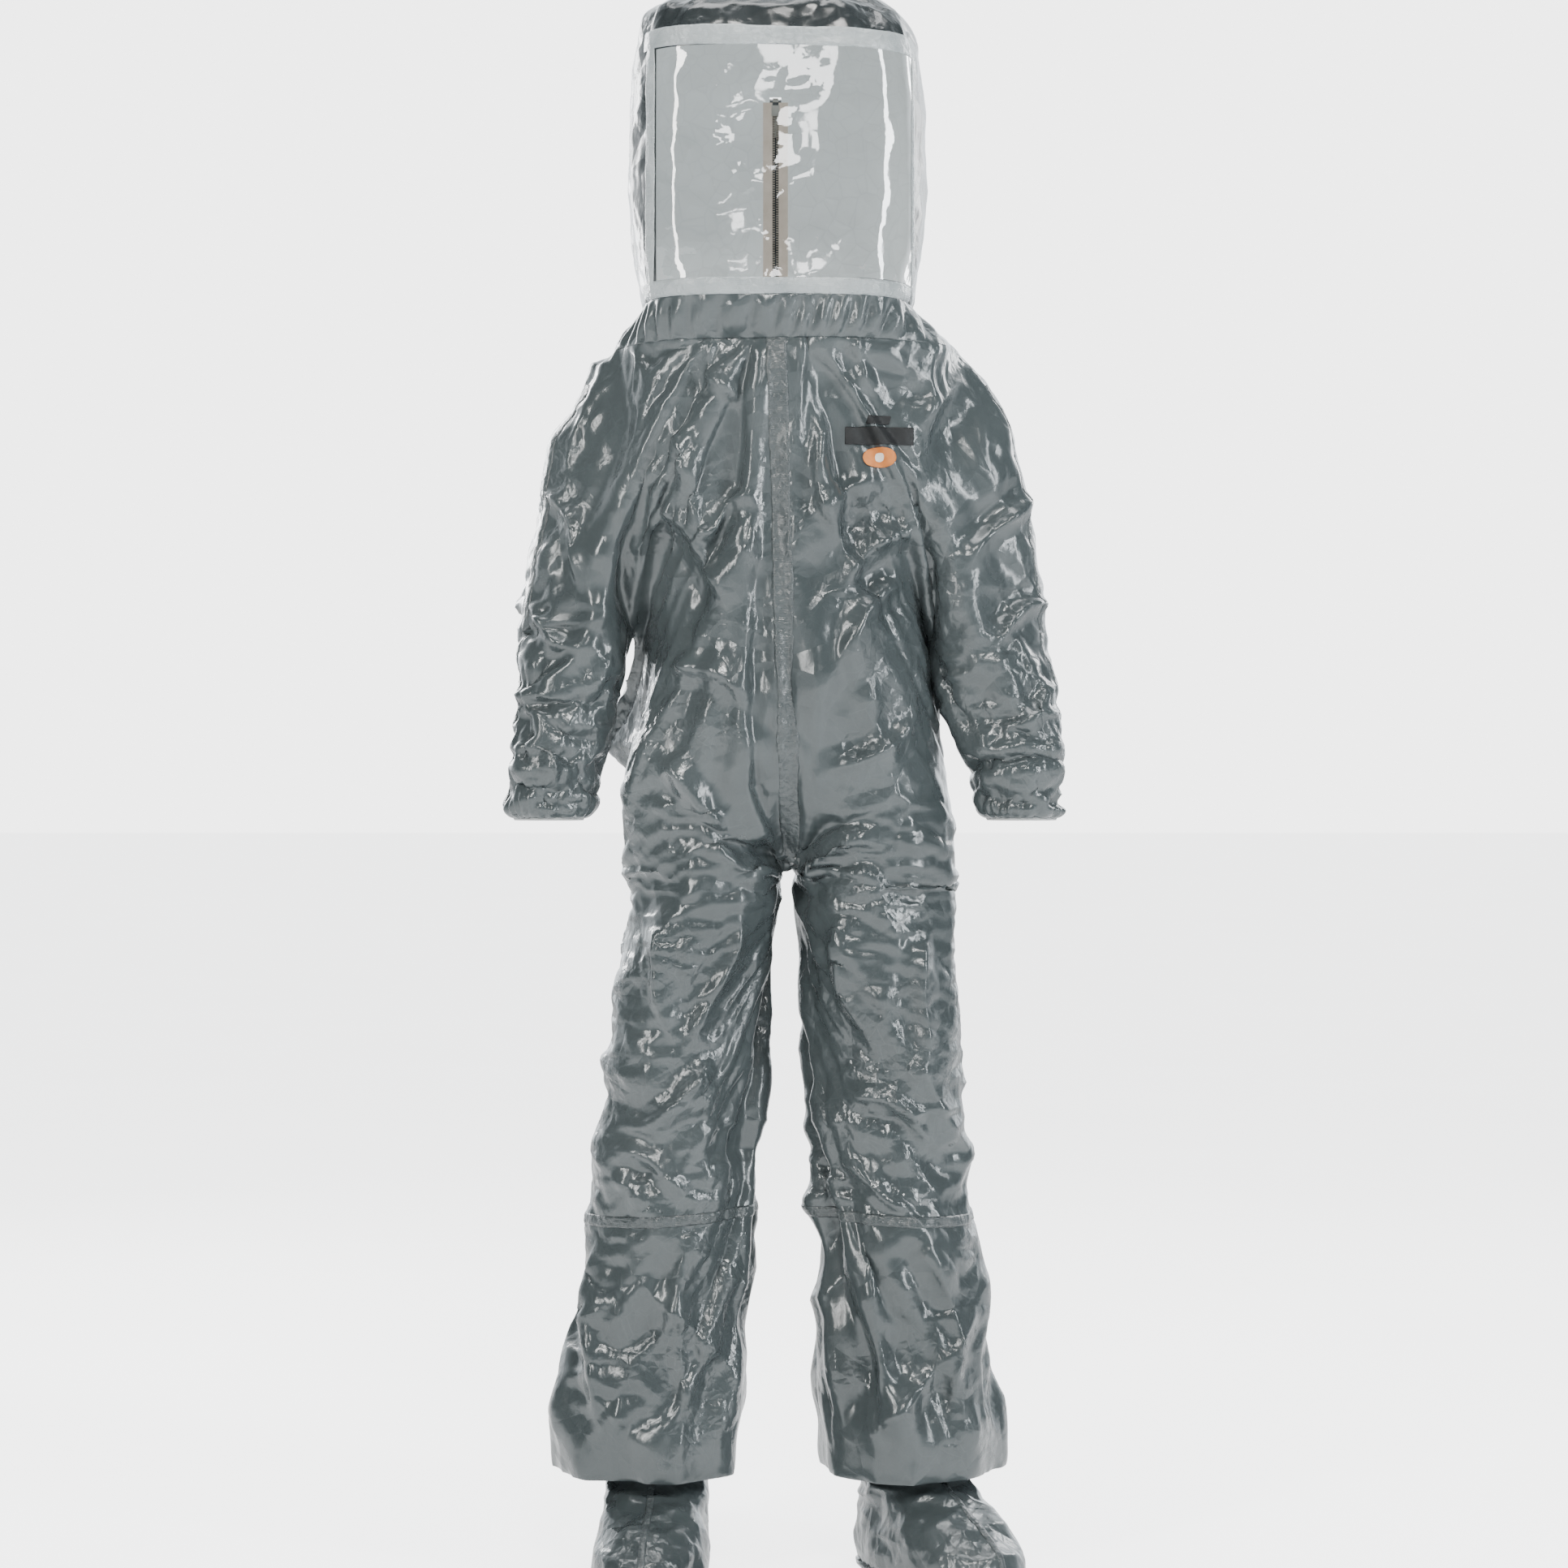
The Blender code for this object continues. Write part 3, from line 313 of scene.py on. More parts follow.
def fuse(name, solids, voxel, rounds):
    """Join closed solids into one even mesh and soften the joins."""
    for item in bpy.context.scene.objects:
        item.select_set(item in solids)
    bpy.context.view_layer.objects.active = solids[0]
    if len(solids) > 1:
        bpy.ops.object.join()
    item = bpy.context.view_layer.objects.active
    item.select_set(False)
    item.name = name
    remesh = item.modifiers.new("remesh", "REMESH")
    remesh.mode = "VOXEL"
    remesh.voxel_size = voxel
    soften = item.modifiers.new("soften", "SMOOTH")
    soften.factor = 0.5
    soften.iterations = rounds
    bake(item)
    return item


def slice_faces(item, where, planes):
    """Cut edges into the mesh along planes, each a point and a direction, where the test holds."""
    cut = bmesh.new()
    cut.from_mesh(item.data)
    for point, direction in planes:
        chosen = [f for f in cut.faces if where(f.calc_center_median())]
        geometry = list({e for f in chosen for e in f.edges} | {v for f in chosen for v in f.verts}) + chosen
        bmesh.ops.bisect_plane(cut, geom=geometry, dist=1e-5, plane_co=point, plane_no=direction)
    cut.to_mesh(item.data)
    cut.free()


def remove_faces(item, where):
    cut = bmesh.new()
    cut.from_mesh(item.data)
    gone = [f for f in cut.faces if where(f.calc_center_median())]
    bmesh.ops.delete(cut, geom=gone, context="FACES")
    cut.to_mesh(item.data)
    cut.free()


def subdivide(item):
    detail = item.modifiers.new("detail", "SUBSURF")
    detail.levels = 1
    detail.render_levels = 1
    bake(item)


def remember_normals(item):
    """Keep the whole mesh's normals on its points, so that pieces cut from it shade as one."""
    kept = item.data.attributes.new("whole_normal", "FLOAT_VECTOR", "POINT")
    kept.data.foreach_set("vector", normals(item.data).astype(np.float32).ravel())


def take_piece(whole, name, keep, look):
    """A copy of the faces of a whole mesh that keep marks, shaded as part of it."""
    mesh = whole.data.copy()
    mesh.name = name
    part = bmesh.new()
    part.from_mesh(mesh)
    part.faces.ensure_lookup_table()
    gone = [part.faces[int(i)] for i in np.nonzero(~keep)[0]]
    bmesh.ops.delete(part, geom=gone, context="FACES")
    part.to_mesh(mesh)
    part.free()
    mesh.shade_smooth()
    flat = np.empty(len(mesh.vertices) * 3, dtype=np.float32)
    mesh.attributes["whole_normal"].data.foreach_get("vector", flat)
    mesh.normals_split_custom_set_from_vertices(flat.reshape(-1, 3).tolist())
    mesh.attributes.remove(mesh.attributes["whole_normal"])
    mesh.materials.clear()
    mesh.materials.append(look)
    return link(bpy.data.objects.new(name, mesh))


def ribbon(name, path, width, tree, lift, look, columns=6, pucker=0.0, seed=0, solid=TAPE_LIFT):
    """A tape laid on a surface along a path of near points, its long edges tucked down."""
    points = []
    for near in path:
        spot, normal, _, _ = tree.find_nearest(Vector(near))
        points.append((spot, normal))
    verts, faces = [], []
    count = len(points)
    for row in range(count):
        spot, normal = points[row]
        ahead = points[min(row + 1, count - 1)][0] - points[max(row - 1, 0)][0]
        across = ahead.cross(normal).normalized()
        for column in range(columns + 1):
            share = 2.0 * column / columns - 1.0
            aim = spot + across * share * width / 2.0
            place, facing, _, _ = tree.find_nearest(aim)
            edge = 1.0 - abs(share) ** 6 - 0.5 * math.exp(-((abs(share) - 0.5) / 0.1) ** 2)
            verts.append(place + facing * (lift * (0.35 + 0.65 * edge)))
    for row in range(count - 1):
        for column in range(columns):
            first = row * (columns + 1) + column
            faces.append((first, first + 1, first + columns + 2, first + columns + 1))
    item = new_object(name, verts, faces, look)
    if pucker:
        spots = vertices(item.data)
        wave = soft_noise(spots, 0.006, seed) * pucker
        set_vertices(item.data, spots + normals(item.data) * wave[:, None])
    thicken = item.modifiers.new("thickness", "SOLIDIFY")
    thicken.thickness = solid
    thicken.offset = -1.0
    bake(item)
    item.data.shade_smooth()
    return item


def between(points, spacing):
    """Points along a polyline at about the given spacing."""
    result = []
    for first, second in zip(points, points[1:]):
        first, second = Vector(first), Vector(second)
        steps = max(1, round((second - first).length / spacing))
        result += [first.lerp(second, step / steps) for step in range(steps)]
    return result + [Vector(points[-1])]


# ---------------------------------------------------------------- materials

class Nodes:
    """A short way to write a material's nodes."""

    def __init__(self, name):
        self.material = bpy.data.materials.new(name)
        self.material.use_nodes = True
        self.tree = self.material.node_tree
        self.shader = self.tree.nodes["Principled BSDF"]
        self.place = self.add("ShaderNodeTexCoord").outputs["Object"]

    def add(self, kind, inputs=None, **settings):
        node = self.tree.nodes.new(kind)
        for key, value in settings.items():
            setattr(node, key, value)
        for key, value in (inputs or {}).items():
            if isinstance(value, bpy.types.NodeSocket):
                self.tree.links.new(value, node.inputs[key])
            else:
                node.inputs[key].default_value = value
        return node

    def math(self, operation, first, second):
        return self.add("ShaderNodeMath", {0: first, 1: second}, operation=operation).outputs[0]

    def noise(self, scale, detail=3.0, place=None, rough=0.55):
        inputs = {"Vector": place or self.place, "Scale": scale, "Detail": detail, "Roughness": rough}
        return self.add("ShaderNodeTexNoise", inputs).outputs["Fac"]

    def warp(self, scale, reach):
        noise = self.add("ShaderNodeTexNoise", {"Vector": self.place, "Scale": scale, "Detail": 2.0})
        centred = self.add(
            "ShaderNodeVectorMath", {0: noise.outputs["Color"], 1: (0.5, 0.5, 0.5)}, operation="SUBTRACT",
        )
        moved = self.add("ShaderNodeVectorMath", {0: centred.outputs[0], 3: reach}, operation="SCALE")
        inputs = {0: self.place, 1: moved.outputs[0]}
        return self.add("ShaderNodeVectorMath", inputs, operation="ADD").outputs[0]

    def facet(self, scale, place):
        """Flat-sided dents and peaks with sharp creases."""
        edge = self.add("ShaderNodeTexVoronoi", {"Vector": place, "Scale": scale}, feature="DISTANCE_TO_EDGE")
        cell = self.add("ShaderNodeTexVoronoi", {"Vector": place, "Scale": scale}, feature="F1")
        red = self.add("ShaderNodeSeparateColor", {"Color": cell.outputs["Color"]}).outputs[0]
        sign = self.math("SUBTRACT", self.math("MULTIPLY", self.math("GREATER_THAN", red, 0.45), 2.0), 1.0)
        return self.math("MULTIPLY", edge.outputs["Distance"], sign), edge.outputs["Distance"]

    def bump(self, height, distance, strength, under=None):
        inputs = {"Height": height, "Distance": distance, "Strength": strength}
        if under is not None:
            inputs["Normal"] = under
        return self.add("ShaderNodeBump", inputs).outputs[0]

    def ramp(self, value, low, high, dark, light):
        """A colour between dark and light as value goes from low to high."""
        span = self.add("ShaderNodeMapRange", {0: value, 1: low, 2: high}).outputs[0]
        mix = self.add("ShaderNodeMix", {0: span, 6: (*dark, 1.0), 7: (*light, 1.0)}, data_type="RGBA")
        return mix.outputs[2]

    def range(self, value, low, high, start, end):
        return self.add("ShaderNodeMapRange", {0: value, 1: low, 2: high, 3: start, 4: end}).outputs[0]

    def set(self, **values):
        for key, value in values.items():
            socket = self.shader.inputs[key.replace("_", " ")]
            if isinstance(value, bpy.types.NodeSocket):
                self.tree.links.new(value, socket)
            else:
                socket.default_value = value
        return self.material


def laminate(name, dark, light, gloss=(0.13, 0.29), crumple=1.0):
    """Coated film laminate: flat crinkle facets at three sizes, pale crease lines and a soft gloss."""
    nodes = Nodes(name)
    place = nodes.warp(5.0, 0.05)
    wide, _ = nodes.facet(16.0, place)
    middle, crease = nodes.facet(42.0, place)
    small, fine_crease = nodes.facet(110.0, nodes.warp(14.0, 0.02))
    patches = nodes.noise(7.0, 4.0)
    normal = nodes.bump(wide, 0.0075 * crumple, 0.8)
    normal = nodes.bump(middle, 0.0036 * crumple, nodes.range(patches, 0.42, 0.62, 0.1, 1.0), normal)
    normal = nodes.bump(small, 0.0011 * crumple, nodes.range(patches, 0.45, 0.65, 0.15, 1.0), normal)
    normal = nodes.bump(nodes.noise(900.0, 2.0), 0.00006, 0.5, normal)
    colour = nodes.ramp(nodes.noise(3.2, 5.0), 0.35, 0.65, dark, light)
    pale = tuple(min(1.0, value * 1.55 + 0.02) for value in light)
    shown = nodes.range(patches, 0.42, 0.62, 0.1, 1.0)
    line = nodes.math("MULTIPLY", nodes.range(crease, 0.0, 0.03, 0.14, 0.0), shown)
    thin = nodes.range(fine_crease, 0.0, 0.03, 0.05, 0.0)
    mixed = nodes.add("ShaderNodeMix", {0: line, 6: colour, 7: (*pale, 1.0)}, data_type="RGBA").outputs[2]
    mixed = nodes.add("ShaderNodeMix", {0: thin, 6: mixed, 7: (*pale, 1.0)}, data_type="RGBA").outputs[2]
    rough = nodes.range(nodes.noise(11.0, 5.0), 0.3, 0.7, *gloss)
    return nodes.set(
        Base_Color=mixed, Roughness=rough, Normal=normal, Specular_IOR_Level=0.62, Coat_Weight=0.30,
        Coat_Roughness=0.10, Metallic=0.12,
    )


def welded_tape(name, dark, light, ribs=900.0):
    """A heat-welded seam tape: slightly smoother than the cloth, with the roller's fine ribs."""
    nodes = Nodes(name)
    roller = nodes.add("ShaderNodeTexWave", {"Vector": nodes.place, "Scale": ribs / 6.28, "Distortion": 2.0})
    roller.bands_direction = "Z"
    creases, _ = nodes.facet(120.0, nodes.warp(20.0, 0.01))
    normal = nodes.bump(roller.outputs["Fac"], 0.00022, 0.6)
    normal = nodes.bump(creases, 0.0040, 0.6, normal)
    colour = nodes.ramp(nodes.noise(30.0, 5.0), 0.3, 0.7, dark, light)
    rough = nodes.range(nodes.noise(40.0, 3.0), 0.3, 0.7, 0.22, 0.38)
    return nodes.set(Base_Color=colour, Roughness=rough, Normal=normal, Coat_Weight=0.3, Coat_Roughness=0.2)


def lining(name):
    """The white inner face of the laminate, softly creased, with painted shade in its creases and a faint
    painted glow in place of the light that comes through the hood.
    """
    nodes = Nodes(name)
    place = nodes.warp(5.0, 0.05)
    wide, _ = nodes.facet(13.0, place)
    middle, crease = nodes.facet(38.0, place)
    normal = nodes.bump(middle, 0.006, 0.6, nodes.bump(wide, 0.018, 0.7))
    colour = nodes.ramp(nodes.noise(4.0, 4.0), 0.3, 0.7, (0.62, 0.65, 0.65), (0.76, 0.79, 0.79))
    # painted shade: the lining's creases are mixed towards a darker grey
    shade = nodes.range(crease, 0.0, 0.05, 0.25, 0.0)
    inputs = {0: shade, 6: colour, 7: (0.5, 0.53, 0.54, 1.0)}
    mixed = nodes.add("ShaderNodeMix", inputs, data_type="RGBA").outputs[2]
    # painted light: a faint emission in the lining's own colour stands in for light coming through the hood
    return nodes.set(
        Base_Color=mixed, Roughness=nodes.range(nodes.noise(20.0), 0.3, 0.7, 0.4, 0.6), Normal=normal,
        Emission_Color=mixed, Emission_Strength=0.42,
    )


def clear_vinyl(name):
    """Thin clear sheet: what is behind shows through, and lamps reflect in its slight waves."""
    nodes = Nodes(name)
    waves = nodes.noise(9.0, 2.0, nodes.warp(3.0, 0.1))
    normal = nodes.bump(nodes.noise(60.0, 2.0), 0.0006, 0.4, nodes.bump(waves, 0.020, 0.6))
    clear = nodes.add("ShaderNodeBsdfTransparent", {"Color": (0.93, 0.95, 0.955, 1.0)})
    gloss = nodes.add("ShaderNodeBsdfGlossy", {"Color": (1.0, 1.0, 1.0, 1.0), "Normal": normal})
    rough = nodes.range(nodes.noise(25.0, 4.0), 0.35, 0.7, 0.02, 0.09)
    nodes.tree.links.new(rough, gloss.inputs["Roughness"])
    fresnel = nodes.add("ShaderNodeFresnel", {"IOR": 1.52, "Normal": normal}).outputs[0]
    share = nodes.math("ADD", nodes.math("MULTIPLY", fresnel, 2.2), 0.04)
    mixed = nodes.add("ShaderNodeMixShader", {0: share, 1: clear.outputs[0], 2: gloss.outputs[0]})
    output = nodes.tree.nodes["Material Output"]
    nodes.tree.links.new(mixed.outputs[0], output.inputs["Surface"])
    nodes.tree.nodes.remove(nodes.shader)
    return nodes.material


def woven(name, dark, light, pitch=0.0011, rough=0.85, sheen=0.25, glow=0.0):
    """A small plain weave; glow stands for the light that comes through it."""
    nodes = Nodes(name)
    scale = 1.0 / pitch
    warp = nodes.add("ShaderNodeTexWave", {"Vector": nodes.place, "Scale": scale, "Distortion": 0.4})
    weft = nodes.add("ShaderNodeTexWave", {"Vector": nodes.place, "Scale": scale, "Distortion": 0.4})
    weft.bands_direction = "Z"
    cross = nodes.math("MULTIPLY", warp.outputs["Fac"], weft.outputs["Fac"])
    colour = nodes.ramp(nodes.math("ADD", cross, nodes.noise(60.0, 3.0)), 0.4, 1.4, dark, light)
    normal = nodes.bump(cross, pitch * 0.35, 0.8)
    return nodes.set(
        Base_Color=colour, Roughness=rough, Normal=normal, Sheen_Weight=sheen, Emission_Color=colour,
        Emission_Strength=glow,
    )


def moulded(name, dark, light, rough=(0.38, 0.52), grain=1400.0, metal=0.0):
    """Moulded plastic, rubber or cast metal with a fine grain and slight wear."""
    nodes = Nodes(name)
    normal = nodes.bump(nodes.noise(grain, 2.0), 0.0001, 0.5, nodes.bump(nodes.noise(80.0, 3.0), 0.0004, 0.4))
    colour = nodes.ramp(nodes.noise(55.0, 6.0), 0.35, 0.7, dark, light)
    return nodes.set(
        Base_Color=colour, Roughness=nodes.range(nodes.noise(120.0, 4.0), 0.3, 0.7, *rough), Normal=normal,
        Metallic=metal,
    )


LAMINATE = laminate("suit_laminate", (0.054, 0.067, 0.070), (0.078, 0.094, 0.098))
DARK_LAMINATE = laminate("hood_laminate", (0.024, 0.030, 0.032), (0.040, 0.048, 0.050), (0.18, 0.34), 1.3)
SEAM = welded_tape("seam_tape", (0.054, 0.066, 0.069), (0.076, 0.090, 0.093))
BINDING = welded_tape("shield_binding", (0.30, 0.34, 0.35), (0.44, 0.48, 0.49))
LINING = lining("white_lining")
VINYL = clear_vinyl("clear_vinyl")
ZIP_CLOTH = woven("zipper_tape_weave", (0.40, 0.34, 0.28), (0.60, 0.53, 0.46), glow=0.8)
COIL = moulded("zipper_coil", (0.42, 0.36, 0.30), (0.60, 0.53, 0.46), (0.3, 0.45))
METAL = moulded("zipper_metal", (0.36, 0.34, 0.31), (0.56, 0.53, 0.49), (0.25, 0.4), 900.0, 0.9)
HOOK = woven("hook_and_loop", (0.02, 0.024, 0.026), (0.07, 0.08, 0.085), 0.0016, 0.95, 0.6)
ELASTIC = woven("knitted_elastic", (0.45, 0.47, 0.47), (0.72, 0.74, 0.74), 0.0014)
PLASTIC = moulded("valve_plastic", (0.030, 0.034, 0.036), (0.060, 0.066, 0.070))
RUBBER = moulded("valve_rubber", (0.012, 0.012, 0.013), (0.03, 0.03, 0.032), (0.55, 0.75), 700.0)
BADGE_FILM = moulded("badge_film", (0.004, 0.005, 0.006), (0.009, 0.011, 0.012), (0.55, 0.7))
BADGE_ORANGE = moulded("badge_orange", (0.50, 0.15, 0.025), (0.66, 0.22, 0.045), (0.5, 0.6))
BADGE_PALE = moulded("badge_pale", (0.75, 0.70, 0.62), (0.86, 0.82, 0.75), (0.3, 0.4))


# ---------------------------------------------------------------- coverall

def torso_solid():
    names = ["centre_front_tape"]
    for side in SIDES:
        names += [part + side for part in ("front_panel_", "back_panel_", "hip_", "zipper_tape_")]
    tree = tree_of_nodes(*names)
    low = at(WAIST_CUT_HEIGHT) + 0.01
    high = node_box("front_panel_left")[1].z - 0.002
    rings = [cast_ring(tree, Vector((0.0, 0.02, z)), fan(X, Y, 72)) for z in np.linspace(low, high, 52)]
    return ring_solid("torso_solid", [ring for ring in rings if ring])


def leg_solid(side):
    parts = ("thigh_", "knee_", "boot_flap_", "flap_hem_")
    tree = tree_of_nodes(*[part + side for part in parts])
    boxes = [node_box(part + side) for part in parts]
    rings = []

    def outside(box, level):
        """How far a level is above or below a box; less than zero within it."""
        return abs(level - (box[0].z + box[1].z) / 2.0) - (box[1].z - box[0].z) / 2.0

    for z in np.linspace(boxes[3][0].z + 0.001, boxes[0][1].z - 0.002, 44):
        low, high = min(boxes, key=lambda box: outside(box, z))
        ring = cast_ring(tree, Vector(((low.x + high.x) / 2.0, 0.0, z)), fan(X, Y, 56))
        if ring:
            rings.append(ring)
    top = rings[-1]
    middle = sum(top, Vector()) / len(top)
    rings.append([middle + (point - middle) * 0.97 + Z * 0.06 for point in top])
    return ring_solid("leg_solid_" + side, rings)


def torso_edge(z):
    """The torso's half width beside the sleeves."""
    heights = (at(0.90), at(1.03), at(1.13), at(1.24))
    return np.interp(z, heights, (0.203, 0.192, 0.173, 0.178))


def arm_solid(side):
    sign = SIDES[side]
    names = [part + side for part in ("sleeve_upper_", "sleeve_elbow_", "sleeve_forearm_")]
    tree = tree_of_nodes(*names)
    upper, elbow, fore = [node_box(name) for name in names]
    shoulder = Vector(JOINTS["shoulder_" + side]["pos_m"])

    def middle(box, z):
        return Vector(((box[0].x + box[1].x) / 2.0, (box[0].y + box[1].y) / 2.0, z))

    cuff_x = middle(fore, 0.0).x + sign * 0.006
    wrist_y = node_box("cuff_elastic_" + side)[0].y / 2.0 + node_box("cuff_elastic_" + side)[1].y / 2.0
    stations = [
        (shoulder - X * sign * 0.001, X * sign),
        (shoulder + Vector((sign * 0.040, 0.0, -0.035)), Vector((sign, 0, -0.9))),
        (shoulder + Vector((sign * 0.058, 0.0, -0.090)), Vector((sign * 0.3, 0, -0.95))),
        (Vector((middle(upper, 0.0).x + sign * 0.004, 0.0, upper[0].z + 0.010)), -Z),
        (middle(elbow, (elbow[0].z + elbow[1].z) / 2.0), -Z), (middle(fore, fore[1].z - 0.010), -Z),
        (Vector((cuff_x, wrist_y, fore[0].z + 0.018)), -Z),
        (Vector((cuff_x, wrist_y, fore[0].z + 0.003)), -Z),
    ]
    rings = []
    for (start, first), (end, second) in zip(stations, stations[1:]):
        for step in range(5):
            centre = start.lerp(end, step / 5.0)
            along = first.lerp(second, step / 5.0).normalized()
            ring = cast_ring(tree, centre, fan(Y.cross(along).normalized(), Y, 44), 0.35)
            if ring:
                rings.append(ring)
    for ring in rings:
        for point in ring:
            clear = SLEEVE_GAP * float(smooth((ARMPIT_Z + 0.012 - point.z) / 0.02))
            least = float(torso_edge(point.z)) + clear
            if clear and sign * point.x < least:
                point.x = sign * least
    root = rings[0]
    centre = sum(root, Vector()) / len(root)
    rings.insert(0, [centre + (point - centre) * 0.9 - X * sign * 0.05 for point in root])
    return ring_solid("arm_solid_" + side, rings)


def held_share(points):
    """1 where the cloth keeps its base shape: zipper, valves, neck, cuffs; 0 where it hangs free."""
    x, y, z = points.T
    neck = at(1.521)
    held = smooth((z - neck + 0.045) / 0.035)
    corridor = smooth((0.085 - np.abs(x - ZIP_X)) / 0.035) * smooth((y - 0.13) / 0.04)
    held = np.maximum(held, corridor * smooth((z - ZIP_LOW_Z + 0.05) / 0.04))
    hem = node_box("flap_hem_left")[0].z
    held = np.maximum(held, 0.85 * smooth((hem + 0.085 - z) / 0.06))
    for side in SIDES:
        low, high = node_box("exhaust_valve_body_" + side)
        centre = (np.array(low) + np.array(high)) / 2.0
        held = np.maximum(held, smooth((0.062 - np.linalg.norm(points - centre, axis=1)) / 0.022))
        cuff = node_box("sleeve_forearm_" + side)[0].z
        arm = (np.abs(x) > 0.222) & (z > cuff - 0.02)
        held = np.maximum(held, arm * smooth((cuff + 0.030 - z) / 0.018))
    return held


def arm_marks(points):
    """0 on the torso and legs, 1 on the left sleeve, -1 on the right."""
    x, y, z = points.T
    heights = (at(0.90), at(1.03), at(1.13), at(1.24), ARMPIT_Z + 0.001)
    edge = np.interp(z, heights, (0.216, 0.202, 0.183, 0.186, ARMHOLE_X))
    pouch = (y > 0.075) & (np.abs(x) < 0.245) & (z < at(1.14))
    return np.where((np.abs(x) > edge) & (z > at(0.86)) & ~pouch, np.sign(x), 0.0)


def simulate(item):
    """Let the cloth, cut a little too large, hang and fold over a form of the same shape."""
    form = link(bpy.data.objects.new("form", item.data.copy()))
    points = vertices(item.data)
    set_vertices(form.data, points - normals(item.data) * FORM_GAP)
    form.modifiers.new("collision", "COLLISION")
    form.collision.thickness_outer = 0.003
    group = item.vertex_groups.new(name="held")
    held = held_share(points)
    for index in np.nonzero(held > 0.02)[0]:
        group.add([int(index)], float(held[index]), "REPLACE")
    cloth = item.modifiers.new("cloth", "CLOTH")
    settings = cloth.settings
    settings.quality = 5
    settings.mass = 0.18
    settings.tension_stiffness = 35
    settings.compression_stiffness = 35
    settings.shear_stiffness = 25
    settings.bending_stiffness = 3.0
    settings.tension_damping = 15
    settings.compression_damping = 15
    settings.shear_damping = 15
    settings.air_damping = 2
    settings.vertex_group_mass = "held"
    settings.shrink_min = -CLOTH_GROWTH
    cloth.collision_settings.collision_quality = 2
    cloth.collision_settings.distance_min = 0.003
    cloth.collision_settings.use_self_collision = False
    for step in range(1, CLOTH_FRAMES + 1):
        bpy.context.scene.frame_set(step)
    bake(item)
    bpy.context.scene.frame_set(1)
    drop(form)
    settled = vertices(item.data)
    drift = settled - points
    length = np.linalg.norm(drift, axis=1)
    share = np.minimum(1.0, MOST_DRIFT / np.maximum(length, 1e-9)) * (1.0 - held)
    set_vertices(item.data, points + drift * share[:, None])


# main folds: where each starts and ends (x, height above the soles), how far it stands out and half its width
FOLDS = (
    ((-0.165, 1.300), (-0.045, 1.180), 0.016, 0.030), ((-0.150, 1.390), (-0.070, 1.245), 0.013, 0.026),
    ((0.160, 1.290), (0.060, 1.190), 0.015, 0.030), ((0.150, 1.215), (0.045, 1.110), 0.012, 0.026),
    ((-0.110, 1.270), (-0.030, 1.300), 0.010, 0.018), ((-0.140, 1.120), (-0.030, 1.050), 0.013, 0.028),
    ((0.165, 1.060), (0.050, 0.960), 0.013, 0.028), ((-0.170, 0.990), (-0.040, 0.905), 0.012, 0.026),
    ((0.030, 1.420), (0.070, 1.240), 0.010, 0.022), ((-0.090, 1.500), (-0.060, 1.400), 0.009, 0.020),
    ((0.100, 1.500), (0.075, 1.430), 0.008, 0.020), ((0.010, 0.850), (0.120, 0.900), 0.013, 0.024),
    ((0.000, 0.850), (-0.120, 0.910), 0.013, 0.024), ((-0.060, 0.820), (-0.110, 0.610), 0.014, 0.028),
    ((-0.170, 0.800), (-0.120, 0.640), 0.012, 0.024), ((0.060, 0.810), (0.110, 0.620), 0.013, 0.028),
    ((0.185, 0.800), (0.150, 0.600), 0.012, 0.024), ((-0.075, 0.620), (-0.200, 0.545), 0.013, 0.024),
    ((0.070, 0.600), (0.190, 0.530), 0.013, 0.024), ((-0.210, 0.520), (-0.100, 0.470), 0.010, 0.020),
    ((0.060, 0.500), (0.170, 0.455), 0.010, 0.020), ((-0.130, 0.430), (-0.115, 0.180), 0.013, 0.026),
    ((-0.220, 0.420), (-0.240, 0.170), 0.012, 0.024), ((0.110, 0.420), (0.100, 0.190), 0.012, 0.026),
    ((0.175, 0.430), (0.205, 0.180), 0.013, 0.026), ((-0.300, 1.330), (-0.225, 1.190), 0.012, 0.022),
    ((0.300, 1.340), (0.225, 1.215), 0.013, 0.022), ((-0.320, 1.180), (-0.235, 1.120), 0.012, 0.020),
    ((0.330, 1.190), (0.235, 1.130), 0.012, 0.020), ((-0.340, 1.090), (-0.255, 1.050), 0.010, 0.018),
    ((0.335, 1.080), (0.250, 1.030), 0.010, 0.018), ((-0.330, 1.010), (-0.260, 0.970), 0.008, 0.016),
)


def fold_height(points, facing):
    """Height of the listed folds at each point of the front; the back takes them mirrored."""
    x, _, z = points.T
    total = np.zeros(len(points))
    for back in (False, True):
        side = np.where(facing > 0, 1.0, 0.0) if back else np.where(facing > 0, 0.0, 1.0)
        side = side * smooth((np.abs(facing) - 0.05) / 0.35)
        for index, (start, end, height, width) in enumerate(FOLDS):
            flip = -1.0 if back else 1.0
            first = np.array((start[0] * flip, at(start[1]) + (0.03 if back else 0.0)))
            second = np.array((end[0] * flip, at(end[1]) - (0.02 if back else 0.0)))
            along = second - first
            spot = np.stack((x, z), axis=1) - first
            share = spot @ along / (along @ along)
            bend = 0.012 * np.sin(share * 5.0 + index)
            apart = (spot[:, 0] * along[1] - spot[:, 1] * along[0]) / np.linalg.norm(along) + bend
            taper = smooth(share / 0.25) * smooth((1.0 - share) / 0.35)
            steep = np.where(apart > 0, width * 0.55, width)
            ridge = np.maximum(0.0, 1.0 - np.abs(apart) / steep)
            total += side * taper * height * ridge ** 1.4
            dip = np.maximum(0.0, 1.0 - np.abs(apart - width) / width)
            total -= side * taper * height * 0.45 * dip ** 1.5
    return total


